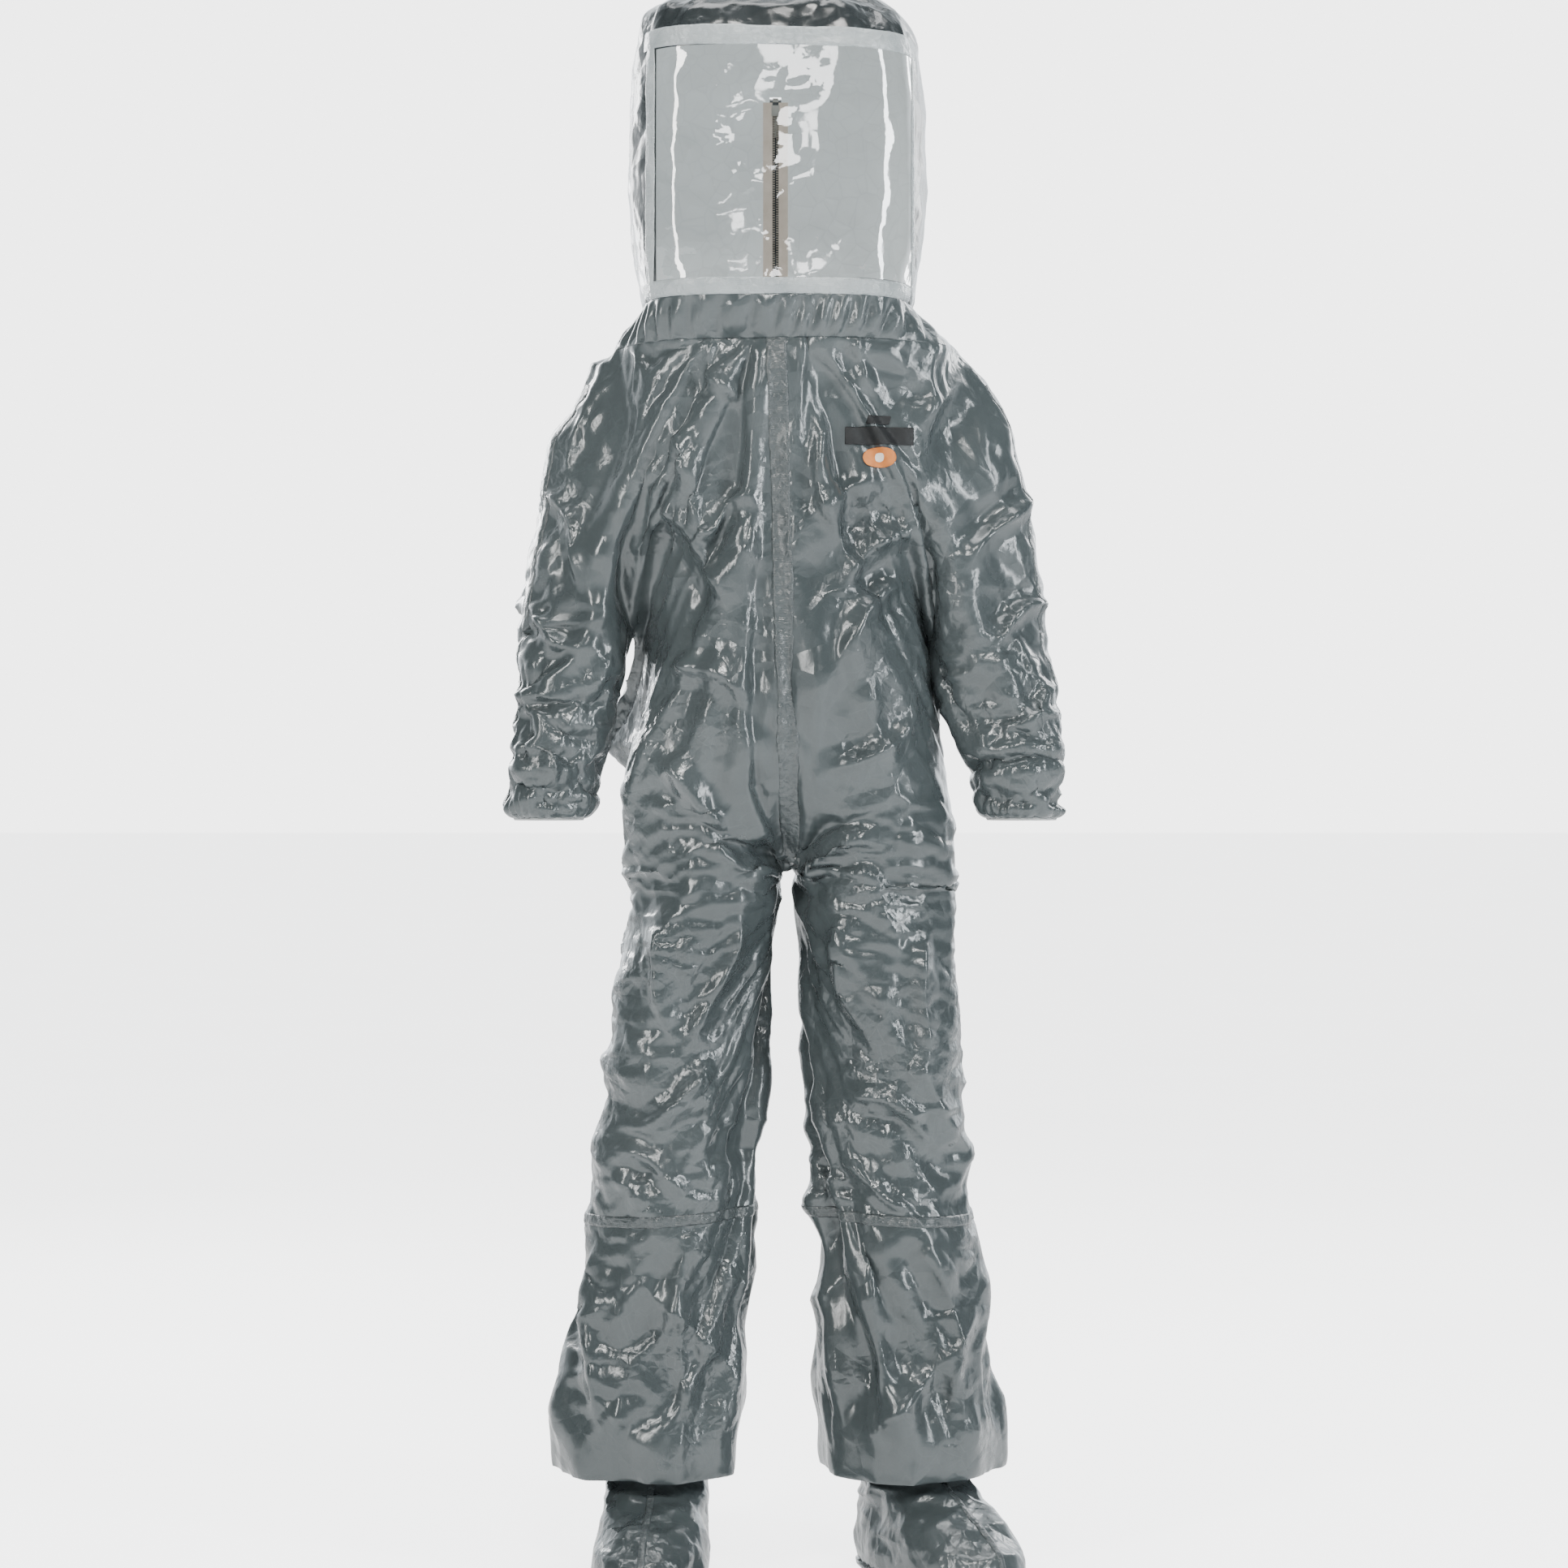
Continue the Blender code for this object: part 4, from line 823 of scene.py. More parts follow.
def streaks(points, angle, size, seed):
    """Long, sharp-crested folds that slant towards the middle of the suit."""
    x, y, z = points.T
    beside = np.abs(x)
    along = z * math.cos(angle) + beside * math.sin(angle)
    across = beside * math.cos(angle) - z * math.sin(angle)
    spots = np.stack((across, y * 0.7 + 0.37 * np.sign(x), along * 0.30), axis=1)
    crest = 0.42 - np.abs(soft_noise(warped(spots, 0.11, 0.012, seed), size, seed + 3))
    return crest * smooth((beside - 0.004) / 0.035)


def crumple(item):
    """Folds, foil-like facets and fine creases, pressed into the mesh along its normals."""
    points = vertices(item.data)
    out = normals(item.data)
    free = 1.0 - 0.93 * held_share(points)
    z = points[:, 2]
    patches = smooth((soft_noise(points, 0.17, 3) + 0.10) / 0.45)
    turn = smooth(0.5 + 1.4 * soft_noise(points, 0.24, 5))
    inward, outward = streaks(points, 0.80, 0.075, 15), streaks(points, -0.55, 0.070, 17)
    height = 0.021 * (turn * inward + (1.0 - turn) * outward)
    height += 0.004 * streaks(points, 0.45, 0.036, 19) * (0.2 + 0.8 * patches)
    height += 0.13 * facets(warped(points, 0.16, 0.04, 21), 0.115, 23)
    height += 0.070 * facets(warped(points, 0.09, 0.020, 31), 0.048, 41) * patches
    height += 0.035 * facets(warped(points, 0.05, 0.010, 51), 0.020, 61) * patches
    height += fold_height(points, out[:, 1])
    # the sleeves gather at the elbow, the legs at the knee
    gather = np.exp(-((z - at(1.10)) / 0.09) ** 2) * (np.abs(points[:, 0]) > 0.2)
    gather += 0.8 * np.exp(-((z - at(0.53)) / 0.10) ** 2)
    wave = np.abs(soft_noise(points * np.array((0.55, 0.55, 1.6)), 0.035, 71))
    height += 0.010 * gather * (0.4 - wave)
    across = np.abs(points[:, 0] - BADGE_CENTRE[0]) - 0.012
    beside = np.maximum(across, np.abs(z - at(BADGE_CENTRE[1]) + 0.007))
    free = free * (1.0 - 0.85 * smooth((0.058 - beside) / 0.024) * (points[:, 1] < 0))
    set_vertices(item.data, points + out * (height * free)[:, None])


def shape_cuffs(item):
    """Draw each cuff in over its elastic, in small puckers."""
    points = vertices(item.data)
    marks = np.sign(points[:, 0]) * ((np.abs(points[:, 0]) > 0.215) & (points[:, 2] > at(0.88)))
    for side, sign in SIDES.items():
        low, high = node_box("cuff_elastic_" + side)
        centre = (np.array(low) + np.array(high)) / 2.0
        bottom = node_box("sleeve_forearm_" + side)[0].z
        apart = points - centre
        angle = np.arctan2(apart[:, 1], apart[:, 0])
        near = smooth((bottom + 0.055 - points[:, 2]) / 0.045) * (marks == sign)
        pucker = np.abs(np.sin(angle * 11.0 + 2.0 * np.sin(angle * 3.0))) - 0.55
        radius = np.linalg.norm(apart[:, :2], axis=1)
        change = near * pucker * 0.0045
        points[:, 0] += change * apart[:, 0] / np.maximum(radius, 1e-6)
        points[:, 1] += change * apart[:, 1] / np.maximum(radius, 1e-6)
    set_vertices(item.data, points)


def shape_hems(item):
    """The lower boot flaps and their hems wave a little in and out."""
    points = vertices(item.data)
    for side, sign in SIDES.items():
        low, high = node_box("flap_hem_" + side)
        centre = (np.array(low) + np.array(high)) / 2.0
        apart = points - centre
        angle = np.arctan2(apart[:, 1], apart[:, 0] * sign)
        near = smooth((low.z + 0.26 - points[:, 2]) / 0.22) * (np.sign(points[:, 0]) == sign)
        wave = 0.006 * np.sin(angle * 3.0 + (0.6 if sign > 0 else 2.1)) + 0.004 * np.sin(angle * 7.0 + 1.0)
        radius = np.maximum(np.linalg.norm(apart[:, :2], axis=1), 1e-6)
        for axis in range(2):
            points[:, axis] += near * wave * apart[:, axis] / radius
    set_vertices(item.data, points)


def make_coverall():
    solids = [torso_solid()]
    for side in SIDES:
        solids += [leg_solid(side), arm_solid(side)]
    item = fuse("coverall", solids, VOXEL, 3)
    neck = at(NECK_HEIGHT)
    hem = node_box("flap_hem_left")[0].z + 0.003
    cuff = node_box("sleeve_forearm_left")[0].z + 0.005

    def beside(spot):
        return abs(spot.x) > 0.222 and spot.z > cuff - 0.06

    slice_faces(item, lambda spot: spot.z > neck - 0.05, [(Vector((0, 0, neck)), Z)])
    slice_faces(item, lambda spot: spot.z < hem + 0.05, [(Vector((0, 0, hem)), Z)])
    slice_faces(item, beside, [(Vector((0, 0, cuff)), Z)])
    remove_faces(item, lambda spot: spot.z > neck or spot.z < hem or (beside(spot) and spot.z < cuff))
    marks = item.data.attributes.new("arm", "FLOAT", "POINT")
    marks.data.foreach_set("value", arm_marks(vertices(item.data)).astype(np.float32))
    simulate(item)
    subdivide(item)
    shape_cuffs(item)
    shape_hems(item)
    crumple(item)
    return item


def split_coverall(item):
    """Cut the coverall where its pieces change from one body to another; the torso, boot flaps and hems ride
    their bodies, while the sleeve, thigh and knee pieces stay where they are.
    """
    def slot_zone(spot):
        return spot.y > 0.14 and abs(spot.x - ZIP_X) < 0.03 and spot.z > ZIP_LOW_Z - 0.03

    edges = [(Vector((ZIP_X + half, 0, 0)), X) for half in (-SLOT_HALF, SLOT_HALF)]
    slice_faces(item, slot_zone, edges + [(Vector((0, 0, ZIP_LOW_Z - 0.006)), Z)])
    remove_faces(item, lambda s: s.y > 0.14 and abs(s.x - ZIP_X) < SLOT_HALF and s.z > ZIP_LOW_Z - 0.006)
    for height in (WAIST_CUT_HEIGHT, THIGH_CUT_HEIGHT, KNEE_SEAM_HEIGHT):
        z = at(height)
        slice_faces(item, lambda s: abs(s.z - z) < 0.02 and abs(s.x) < 0.30, [(Vector((0, 0, z)), Z)])
    hem = node_box("flap_hem_left")[1].z
    slice_faces(item, lambda s: abs(s.z - hem) < 0.02, [(Vector((0, 0, hem)), Z)])
    for sign in SIDES.values():
        point = Vector((sign * ARMHOLE_EDGE_X, 0.0, UNDERARM_Z))
        slanted = Vector((sign, 0.0, 1.0)).normalized()
        slice_faces(item, lambda s: sign * s.x > 0.15 and s.z > at(0.95), [(point, slanted)])
    remember_normals(item)
    centres = face_centres(item.data)
    x, _, z = centres.T
    flat = np.empty(len(item.data.vertices), dtype=np.float32)
    item.data.attributes["arm"].data.foreach_get("value", flat)
    mark = np.array([flat[p.vertices[0]] for p in item.data.polygons])
    arm = np.where(np.abs(mark) > 0.5, np.sign(mark), 0.0)
    body = arm == 0
    above = at(WAIST_CUT_HEIGHT)
    torso = take_piece(item, "coverall_torso", body & (z > above), LAMINATE)
    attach(torso, "torso")
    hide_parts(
        "front_panel_left", "front_panel_right", "back_panel_left", "back_panel_right", "hip_left",
        "hip_right",
    )
    made = {"torso": torso}
    for side, sign in SIDES.items():
        on_side = np.sign(x) == sign
        sleeve = arm == sign
        elbow_cut = at(ELBOW_CUT_HEIGHT)
        outer = (sign * x - ARMHOLE_EDGE_X) > (UNDERARM_Z - z)
        leg = body & on_side
        cuts = {
            "shoulder": sleeve & outer & (z > elbow_cut), "armpit": sleeve & ~outer & (z > elbow_cut),
            "forearm": sleeve & (z <= elbow_cut), "thigh": leg & (z <= above) & (z > at(THIGH_CUT_HEIGHT)),
            "knee": leg & (z <= at(THIGH_CUT_HEIGHT)) & (z > at(KNEE_SEAM_HEIGHT)),
            "boot_flap": leg & (z <= at(KNEE_SEAM_HEIGHT)) & (z > hem), "flap_hem": leg & (z <= hem),
        }
        for name, keep in cuts.items():
            piece = take_piece(item, "coverall_" + name + "_" + side, keep, LAMINATE)
            made[name + "_" + side] = piece
        move_coverall(made, side)
    drop(item)
    return made


def move_coverall(made, side):
    """Which body or joint each piece of one side would follow, listed in moves but not applied: those pieces
    only have their placement baked, while the boot flap rides the lower leg and the hem its own body.
    """
    sign = SIDES[side]
    edge = sign * ARMHOLE_EDGE_X
    arm, fore = "upper_arm_" + side, "forearm_" + side
    thigh, shin = "upper_leg_" + side, "lower_leg_" + side
    moves = {
        "shoulder": ("torso", arm, (edge, 0, 0), (edge + sign * SHOULDER_TURN, 0, 0)),
        "armpit": ("torso", arm, (0, 0, UNDERARM_Z), (0, 0, UNDERARM_Z - SHOULDER_TURN)),
        "forearm": (arm, fore, (0, 0, at(ELBOW_TURN[0])), (0, 0, at(ELBOW_TURN[1]))),
        "thigh": ("torso", thigh, (0, 0, at(HIP_TURN[0])), (0, 0, at(HIP_TURN[1]))),
        "knee": (thigh, shin, (0, 0, at(KNEE_TURN[0])), (0, 0, at(KNEE_TURN[1]))),
    }
    for name, (first, second, start, end) in moves.items():
        piece = made[name + "_" + side]
        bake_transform(piece)
    flap = made["boot_flap_" + side]
    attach(flap, shin)
    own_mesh(flap)
    hem = made["flap_hem_" + side]
    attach(hem, "flap_hem_" + side)
    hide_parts("sleeve_upper_" + side)
    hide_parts("sleeve_elbow_" + side, "sleeve_forearm_" + side)
    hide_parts("thigh_" + side)
    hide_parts("knee_" + side)
    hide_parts("boot_flap_" + side)
    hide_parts("flap_hem_" + side)


# ---------------------------------------------------------------- hood

def hood_solid():
    names = ["hood_crown", "face_shield", "shield_tape_top", "shield_tape_bottom"]
    for side in SIDES:
        names += ["hood_side_" + side, "hood_back_" + side, "shield_tape_" + side, "zipper_tape_" + side]
    tree = tree_of_nodes(*names)
    low, high = node_box("hood_crown")
    centre_x = (low.x + high.x) / 2.0
    base = node_box("hood_side_left")[0].z
    rings = []
    for z in np.linspace(base - 0.001, low.z - 0.001, 50):
        rings.append(cast_ring(tree, Vector((centre_x, 0.005, max(z, base + 0.0005))), fan(X, Y, 160)))
        if rings[-1]:
            for point in rings[-1]:
                point.z = z
    middle = Vector((centre_x, 0.005, low.z - 0.02))
    for step in range(1, 16):
        rings.append(cast_ring(tree, middle, fan(X, Y, 160, math.radians(9.0 + 78.0 * step / 15.0))))
    return ring_solid("hood_solid", [ring for ring in rings if ring])


def make_hood():
    item = fuse("hood", [hood_solid()], HOOD_VOXEL, 4)
    subdivide(item)
    points = vertices(item.data)
    out = normals(item.data)
    x, y, z = points.T
    base = node_box("hood_side_left")[0].z
    rim = node_box("hood_crown")[0].z
    low_z, high_z = at(SHIELD_HEIGHTS[0]), at(SHIELD_HEIGHTS[1])
    beside = np.maximum(np.maximum(SHIELD_X[0] - x, x - SHIELD_X[1]), np.maximum(low_z - z, z - high_z))
    window = smooth((0.018 - beside) / 0.02) * (y < -0.02)
    corridor = smooth((0.070 - np.abs(x - ZIP_X)) / 0.03) * smooth((y - 0.12) / 0.04)
    free = (1.0 - window) * (1.0 - 0.95 * corridor) * smooth((z - base) / 0.02)
    top = smooth((z - rim + 0.02) / 0.04)
    height = (0.090 + 0.11 * top) * facets(warped(points, 0.10, 0.03, 101), 0.070, 111)
    height += (0.085 + 0.07 * top) * facets(warped(points, 0.06, 0.015, 121), 0.032, 131)
    height += 0.0035 * top * soft_noise(points, 0.05, 141)
    ripple = 0.0022 * soft_noise(points * np.array((1.0, 1.0, 0.5)), 0.085, 151)
    set_vertices(item.data, points + out * (height * free + ripple * window * (1.0 - corridor))[:, None])

    def front(spot):
        return spot.y < -0.02 and base + 0.005 < spot.z < rim + 0.02

    planes = [(Vector((SHIELD_X[0], 0, 0)), X), (Vector((SHIELD_X[1], 0, 0)), X)]
    planes += [(Vector((0, 0, low_z)), Z), (Vector((0, 0, high_z)), Z)]
    slice_faces(item, front, planes)
    rear_edges = [(Vector((ZIP_X + half, 0, 0)), X) for half in (-SLOT_HALF, SLOT_HALF)]
    top_of_slot = node_box("zipper_chain_left")[1].z + 0.007
    rear_edges.append((Vector((0, 0, top_of_slot)), Z))
    slice_faces(item, lambda s: s.y > 0.1 and s.z < top_of_slot + 0.02, rear_edges)
    remove_faces(item, lambda s: s.y > 0.1 and abs(s.x - ZIP_X) < SLOT_HALF and s.z < top_of_slot)
    remove_faces(item, lambda s: s.z < base + 0.0005 and abs(s.x) < 0.14 and -0.16 < s.y < 0.17)
    remember_normals(item)
    centres = face_centres(item.data)
    x, y, z = centres.T
    inside = (x > SHIELD_X[0]) & (x < SHIELD_X[1]) & (z > low_z) & (z < high_z) & (y < -0.02)
    facing = np.empty(len(item.data.polygons) * 3)
    item.data.polygons.foreach_get("normal", facing)
    bottom = (facing.reshape(-1, 3)[:, 2] < -0.7) & (z < base + 0.01)
    shell = take_piece(item, "hood_shell", ~inside & ~bottom, DARK_LAMINATE)
    shield = take_piece(item, "clear_shield", inside, VINYL)
    inner = take_piece(item, "hood_lining", ~inside & ~bottom, LINING)
    flip = bmesh.new()
    flip.from_mesh(inner.data)
    bmesh.ops.reverse_faces(flip, faces=flip.faces)
    flip.to_mesh(inner.data)
    flip.free()
    set_vertices(inner.data, vertices(inner.data) + normals(inner.data) * 0.0012)
    for piece, slot in ((shell, "suit_laminate_dark"), (shield, "clear_vinyl"), (inner, "suit_laminate")):
        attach(piece, "torso")
    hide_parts("hood_crown", "hood_side_left", "hood_side_right", "hood_back_left", "hood_back_right")
    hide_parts("face_shield")
    tree = tree_of(item)
    make_shield_tapes(tree)
    drop(item)
    return tree


def make_shield_tapes(tree):
    """The pale welded tape round the shield; the top one dips a little towards the wearer's left."""
    low, high = at(SHIELD_HEIGHTS[0]), at(SHIELD_HEIGHTS[1])
    left, right = SHIELD_X
    routes = {
        "top": (((left - 0.014, high + 0.014), (right + 0.004, high + 0.007)), 0.024),
        "bottom": (((left - 0.014, low - 0.011), (right + 0.004, low - 0.012)), 0.023),
        "right": (((left - 0.008, low - 0.015), (left - 0.007, high + 0.015)), 0.017),
        "left": (((right + 0.002, low - 0.015), (right + 0.002, high + 0.008)), 0.009),
    }
    for name, (ends, width) in routes.items():
        path = []
        for point in between([(x, -0.3, z) for x, z in ends], 0.006):
            hit = tree.ray_cast(point, Y, 0.5)
            path.append(hit[0] if hit[0] is not None else point)
        piece = ribbon("shield_binding_" + name, path, width, tree, 0.0011, BINDING, 8, 0.0003, 161)
        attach(piece, "torso")
        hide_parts("shield_tape_" + name)


def make_neck(hood_tree, suit_tree):
    """The gathered band between hood and shoulders, open at the zipper."""
    base = node_box("hood_side_left")[0].z
    centre = Vector((-0.005, 0.008, 0.0))
    verts, faces = [], []
    columns, rows = 420, 14
    count = 0
    for column in range(columns + 1):
        angle = math.pi / 2.0 + 2.0 * math.pi * (column / columns)
        ray = Vector((math.cos(angle), math.sin(angle), 0.0))
        ends = []
        for tree, z in ((hood_tree, base + 0.002), (suit_tree, at(1.492))):
            origin = Vector((centre.x, centre.y, z))
            hit = tree.ray_cast(origin + ray * 0.5, -ray, 0.5)
            ends.append(hit[0] if hit[0] is not None else None)
        if ends[0] is None or ends[1] is None:
            continue
        phase = 46.0 * angle + 3.0 * math.sin(angle * 5.0)
        for row in range(rows + 1):
            share = row / rows
            point = ends[0].lerp(ends[1], share)
            belly = math.sin(math.pi * share)
            gather = 0.0085 * (abs(math.sin(phase / 2.0 + 1.5 * share)) - 0.55) * belly ** 0.7
            proud = 1.0 - float(smooth((0.095 - abs(point.x - ZIP_X)) / 0.03)) * (point.y > 0.0)
            verts.append(point + ray * (0.0003 + proud * (gather + 0.0035 * belly)) - Z * 0.004 * belly)
        count += 1
    keep = []
    for column in range(count - 1):
        for row in range(rows):
            first = column * (rows + 1) + row
            quad = (first, first + 1, first + rows + 2, first + rows + 1)
            middle = (verts[quad[0]] + verts[quad[2]]) / 2.0
            if middle.y > 0.1 and abs(middle.x - ZIP_X) < SLOT_HALF:
                continue
            if (verts[quad[0]] - verts[quad[3]]).length < 0.03:
                keep.append(quad)
    item = new_object("neck_gathers", verts, keep, LAMINATE)
    spots = vertices(item.data)
    share = np.tile(np.linspace(0.0, 1.0, rows + 1), count)
    rough = 0.16 * facets(warped(spots, 0.05, 0.012, 301), 0.030, 311) + 0.004 * soft_noise(spots, 0.05, 321)
    away = spots - np.array((centre.x, centre.y, 0.0))
    away[:, 2] = 0.0
    away /= np.linalg.norm(away, axis=1)[:, None]
    proud = 1.0 - smooth((0.095 - np.abs(spots[:, 0] - ZIP_X)) / 0.03) * (spots[:, 1] > 0.0)
    set_vertices(item.data, spots + away * (rough * proud * np.sin(math.pi * share) ** 0.6)[:, None])
    detail = item.modifiers.new("detail", "SUBSURF")
    detail.levels = 1
    thicken = item.modifiers.new("thickness", "SOLIDIFY")
    thicken.thickness = 0.0008
    bake(item)
    item.data.shade_smooth()
    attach(item, "torso")
    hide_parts("neck_band")


# ---------------------------------------------------------------- seams and badge

def front_path(tree, points, spacing=0.005):
    """Points of the chest's or leg's front surface behind a line of (x, height)."""
    path = []
    for point in between([(x, -0.4, at(height)) for x, height in points], spacing):
        hit = tree.ray_cast(point, Y, 0.7)
        if hit[0] is not None:
            path.append(hit[0])
    return path


def make_seams(tree):
    centre = front_path(tree, ((-0.0115, 1.508), (-0.004, 1.25), (0.004, 1.00), (0.0065, 0.866)), 0.004)
    piece = ribbon("centre_front_seam", centre, 0.026, tree, 0.0012, SEAM, 8, 0.0006, 171)
    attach(piece, "torso")
    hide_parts("centre_front_tape")
    for side, sign in SIDES.items():
        knee = []
        low, high = node_box("knee_" + side)
        middle = (low + high) / 2.0
        tilt = 0.018 if side == "right" else -0.014
        z = at(KNEE_SEAM_HEIGHT) - 0.012
        for step in range(161):
            angle = 2.0 * math.pi * step / 160
            ray = Vector((math.cos(angle), math.sin(angle), 0.0))
            spot = Vector((middle.x, 0.0, z + 0.3 * tilt * math.cos(angle)))
            hit = tree.ray_cast(spot + ray * 0.16, -ray, 0.16)
            if hit[0] is not None:
                knee.append(hit[0])
        band = ribbon("knee_seam_" + side, knee, 0.014, tree, 0.0011, SEAM, 6, 0.0004, 181)
        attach(band, "lower_leg_" + side)
        make_sleeve_seam(tree, side, sign)


def make_sleeve_seam(tree, side, sign):
    """The taped seam down the outside of the sleeve, in two pieces split at the elbow cut, as the sleeve is.
    """
    def outside(heights):
        path = []
        for height in heights:
            hit = tree.ray_cast(Vector((sign * 0.5, -0.028, at(height))), X * -sign, 0.4)
            if hit[0] is not None:
                path.append(hit[0])
        return path

    cut = ELBOW_CUT_HEIGHT
    path = outside(np.arange(1.452, cut, -0.005))
    shoulder = ribbon("sleeve_seam_upper_" + side, path, 0.015, tree, 0.0010, SEAM, 4, 0.0004, 191)
    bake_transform(shoulder)
    path = outside(np.arange(cut, 0.925, -0.005))
    fore = ribbon("sleeve_seam_lower_" + side, path, 0.015, tree, 0.0010, SEAM, 4, 0.0004, 193)
    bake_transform(fore)


def patch(name, outline, tree, lift, look, spacing=0.0025):
    """A thin film laid on the chest, filling an outline test over its bounding box."""
    x_low, x_high, z_low, z_high, inside = outline
    columns = max(4, round((x_high - x_low) / spacing))
    rows = max(4, round((z_high - z_low) / spacing))
    verts, faces = [], []
    for row in range(rows + 1):
        for column in range(columns + 1):
            share = 2.0 * column / columns - 1.0
            rise = 2.0 * row / rows - 1.0
            px, pz = inside(share, rise)
            x = (x_low + x_high) / 2.0 + px * (x_high - x_low) / 2.0
            z = (z_low + z_high) / 2.0 + pz * (z_high - z_low) / 2.0
            hit = tree.ray_cast(Vector((x, -0.4, z)), Y, 0.7)
            verts.append(hit[0] + Vector((0.0, -lift, 0.0)))
    for row in range(rows):
        for column in range(columns):
            first = row * (columns + 1) + column
            faces.append((first, first + 1, first + columns + 2, first + columns + 1))
    item = new_object(name, verts, faces, look)
    relax = item.modifiers.new("relax", "SMOOTH")
    relax.iterations = 6
    thicken = item.modifiers.new("thickness", "SOLIDIFY")
    thicken.thickness = 0.0006
    thicken.offset = 1.0
    bake(item)
    item.data.shade_smooth()
    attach(item, "torso")
    return item


def make_badge(tree):
    """A plain dark bar with a small tab above it and an orange oval with a pale disc below."""
    x, height = BADGE_CENTRE

    def square(share, rise):
        return share, rise

    def disc(share, rise):
        narrow = math.sqrt(max(0.0, 1.0 - rise * rise / 2.0))
        low = math.sqrt(max(0.0, 1.0 - share * share / 2.0))
        return share * narrow, rise * low

    def slanted(share, rise):
        return share + 0.10 * rise, rise

    z = at(height)
    bar = patch("badge_bar", (x - 0.042, x + 0.042, z - 0.0115, z + 0.0115, square), tree, 0.0016, BADGE_FILM)
    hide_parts("chest_label")
    patch("badge_tab", (x - 0.016, x + 0.014, z + 0.0125, z + 0.0245, slanted), tree, 0.0016, BADGE_FILM)
    patch("badge_oval", (x - 0.021, x + 0.021, z - 0.0385, z - 0.0125, disc), tree, 0.0016, BADGE_ORANGE)
    middle = (x - 0.006, x + 0.006, z - 0.0315, z - 0.0195, disc)
    patch("badge_disc", middle, tree, 0.0026, BADGE_PALE, 0.0015)


# ---------------------------------------------------------------- booties

def make_bootie(side):
    sign = SIDES[side]
    tree = tree_of_nodes("bootie_" + side, "ankle_" + side, "shin_" + side, "sole_" + side)
    ankle = Vector(JOINTS["ankle_" + side]["pos_m"])
    low, high = node_box("bootie_" + side)
    middle = Vector(((low.x + high.x) / 2.0, (low.y + high.y) / 2.0, 0.0))
    top = node_box("shin_" + side)[0].z + 0.07
    rings = []
    for z in np.concatenate((np.linspace(low.z + 0.001, at(0.13), 34), np.linspace(at(0.135), top, 16))):
        share = float(smooth((z - at(0.03)) / 0.07))
        centre = Vector((middle.x + (ankle.x - middle.x) * share, middle.y * (1.0 - share), z))
        ring = cast_ring(tree, centre, fan(X, Y, 96), 0.4)
        if ring:
            rings.append(ring)
    item = fuse("bootie_cloth_" + side, [ring_solid("bootie_solid", rings)], FOOT_VOXEL, 4)
    subdivide(item)
    points = vertices(item.data)
    out = normals(item.data)
    z = points[:, 2]
    free = smooth((z - at(0.004)) / 0.03)
    height = 0.13 * facets(warped(points, 0.08, 0.02, 201), 0.060, 211)
    height += 0.11 * facets(warped(points, 0.05, 0.012, 221), 0.028, 231)
    gather = np.exp(-((z - at(0.10)) / 0.05) ** 2)
    height += 0.007 * gather * (0.45 - np.abs(soft_noise(points * np.array((0.5, 0.5, 1.5)), 0.028, 241)))
    points = points + out * (height * free)[:, None]
    points[:, 2] = np.maximum(points[:, 2], low.z + 0.0006)
    set_vertices(item.data, points)
    remove_faces(item, lambda spot: spot.z > top - 0.006)
    item.data.materials.clear()
    item.data.materials.append(LAMINATE)
    item.data.shade_smooth()
    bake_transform(item)
    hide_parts("bootie_" + side, "ankle_" + side, "shin_" + side)
    bootie_tree = tree_of(item)
    path = []
    for z in np.arange(at(0.012), at(0.118), 0.003):
        origin = Vector((ankle.x, ankle.y, z))
        turn = Vector(JOINTS["ankle_" + side]["axis"]).cross(Z).normalized()
        if turn.y > 0:
            turn.negate()
        hit = bootie_tree.ray_cast(origin + turn * 0.4, -turn, 0.4)
        if hit[0] is not None:
            path.append(hit[0])
    seam = ribbon("bootie_seam_" + side, path, 0.009, bootie_tree, 0.0009, SEAM, 4, 0.0004, 251)
    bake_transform(seam)


# ---------------------------------------------------------------- rear closure

def make_chains():
    """A coil's teeth on each side of the slit, in place of the CAD model's plain strips."""
    for side, sign in SIDES.items():
        low, high = node_box("zipper_chain_" + side)
        pitch = 0.0031
        count = int((high.z - low.z) / pitch)
        verts, faces = [], []
        shift = 0.0 if side == "left" else pitch / 2.0
        for index in range(count - 1):
            z = low.z + pitch * (index + 0.5) + shift
            base = len(verts)
            ring = 6
            for end in (low.x, high.x):
                for step in range(ring):
                    angle = 2.0 * math.pi * step / ring
                    y = (low.y + high.y) / 2.0 + (high.y - low.y) / 2.0 * math.sin(angle)
                    verts.append(Vector((end, y, z + pitch * 0.30 * math.cos(angle))))
            for step in range(ring):
                after = (step + 1) % ring
                faces.append((base + step, base + after, base + ring + after, base + ring + step))
            faces.append(tuple(base + step for step in reversed(range(ring))))
            faces.append(tuple(base + ring + step for step in range(ring)))
        item = new_object("zipper_teeth_" + side, verts, faces, COIL)
        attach(item, "torso")
        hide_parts("zipper_chain_" + side)


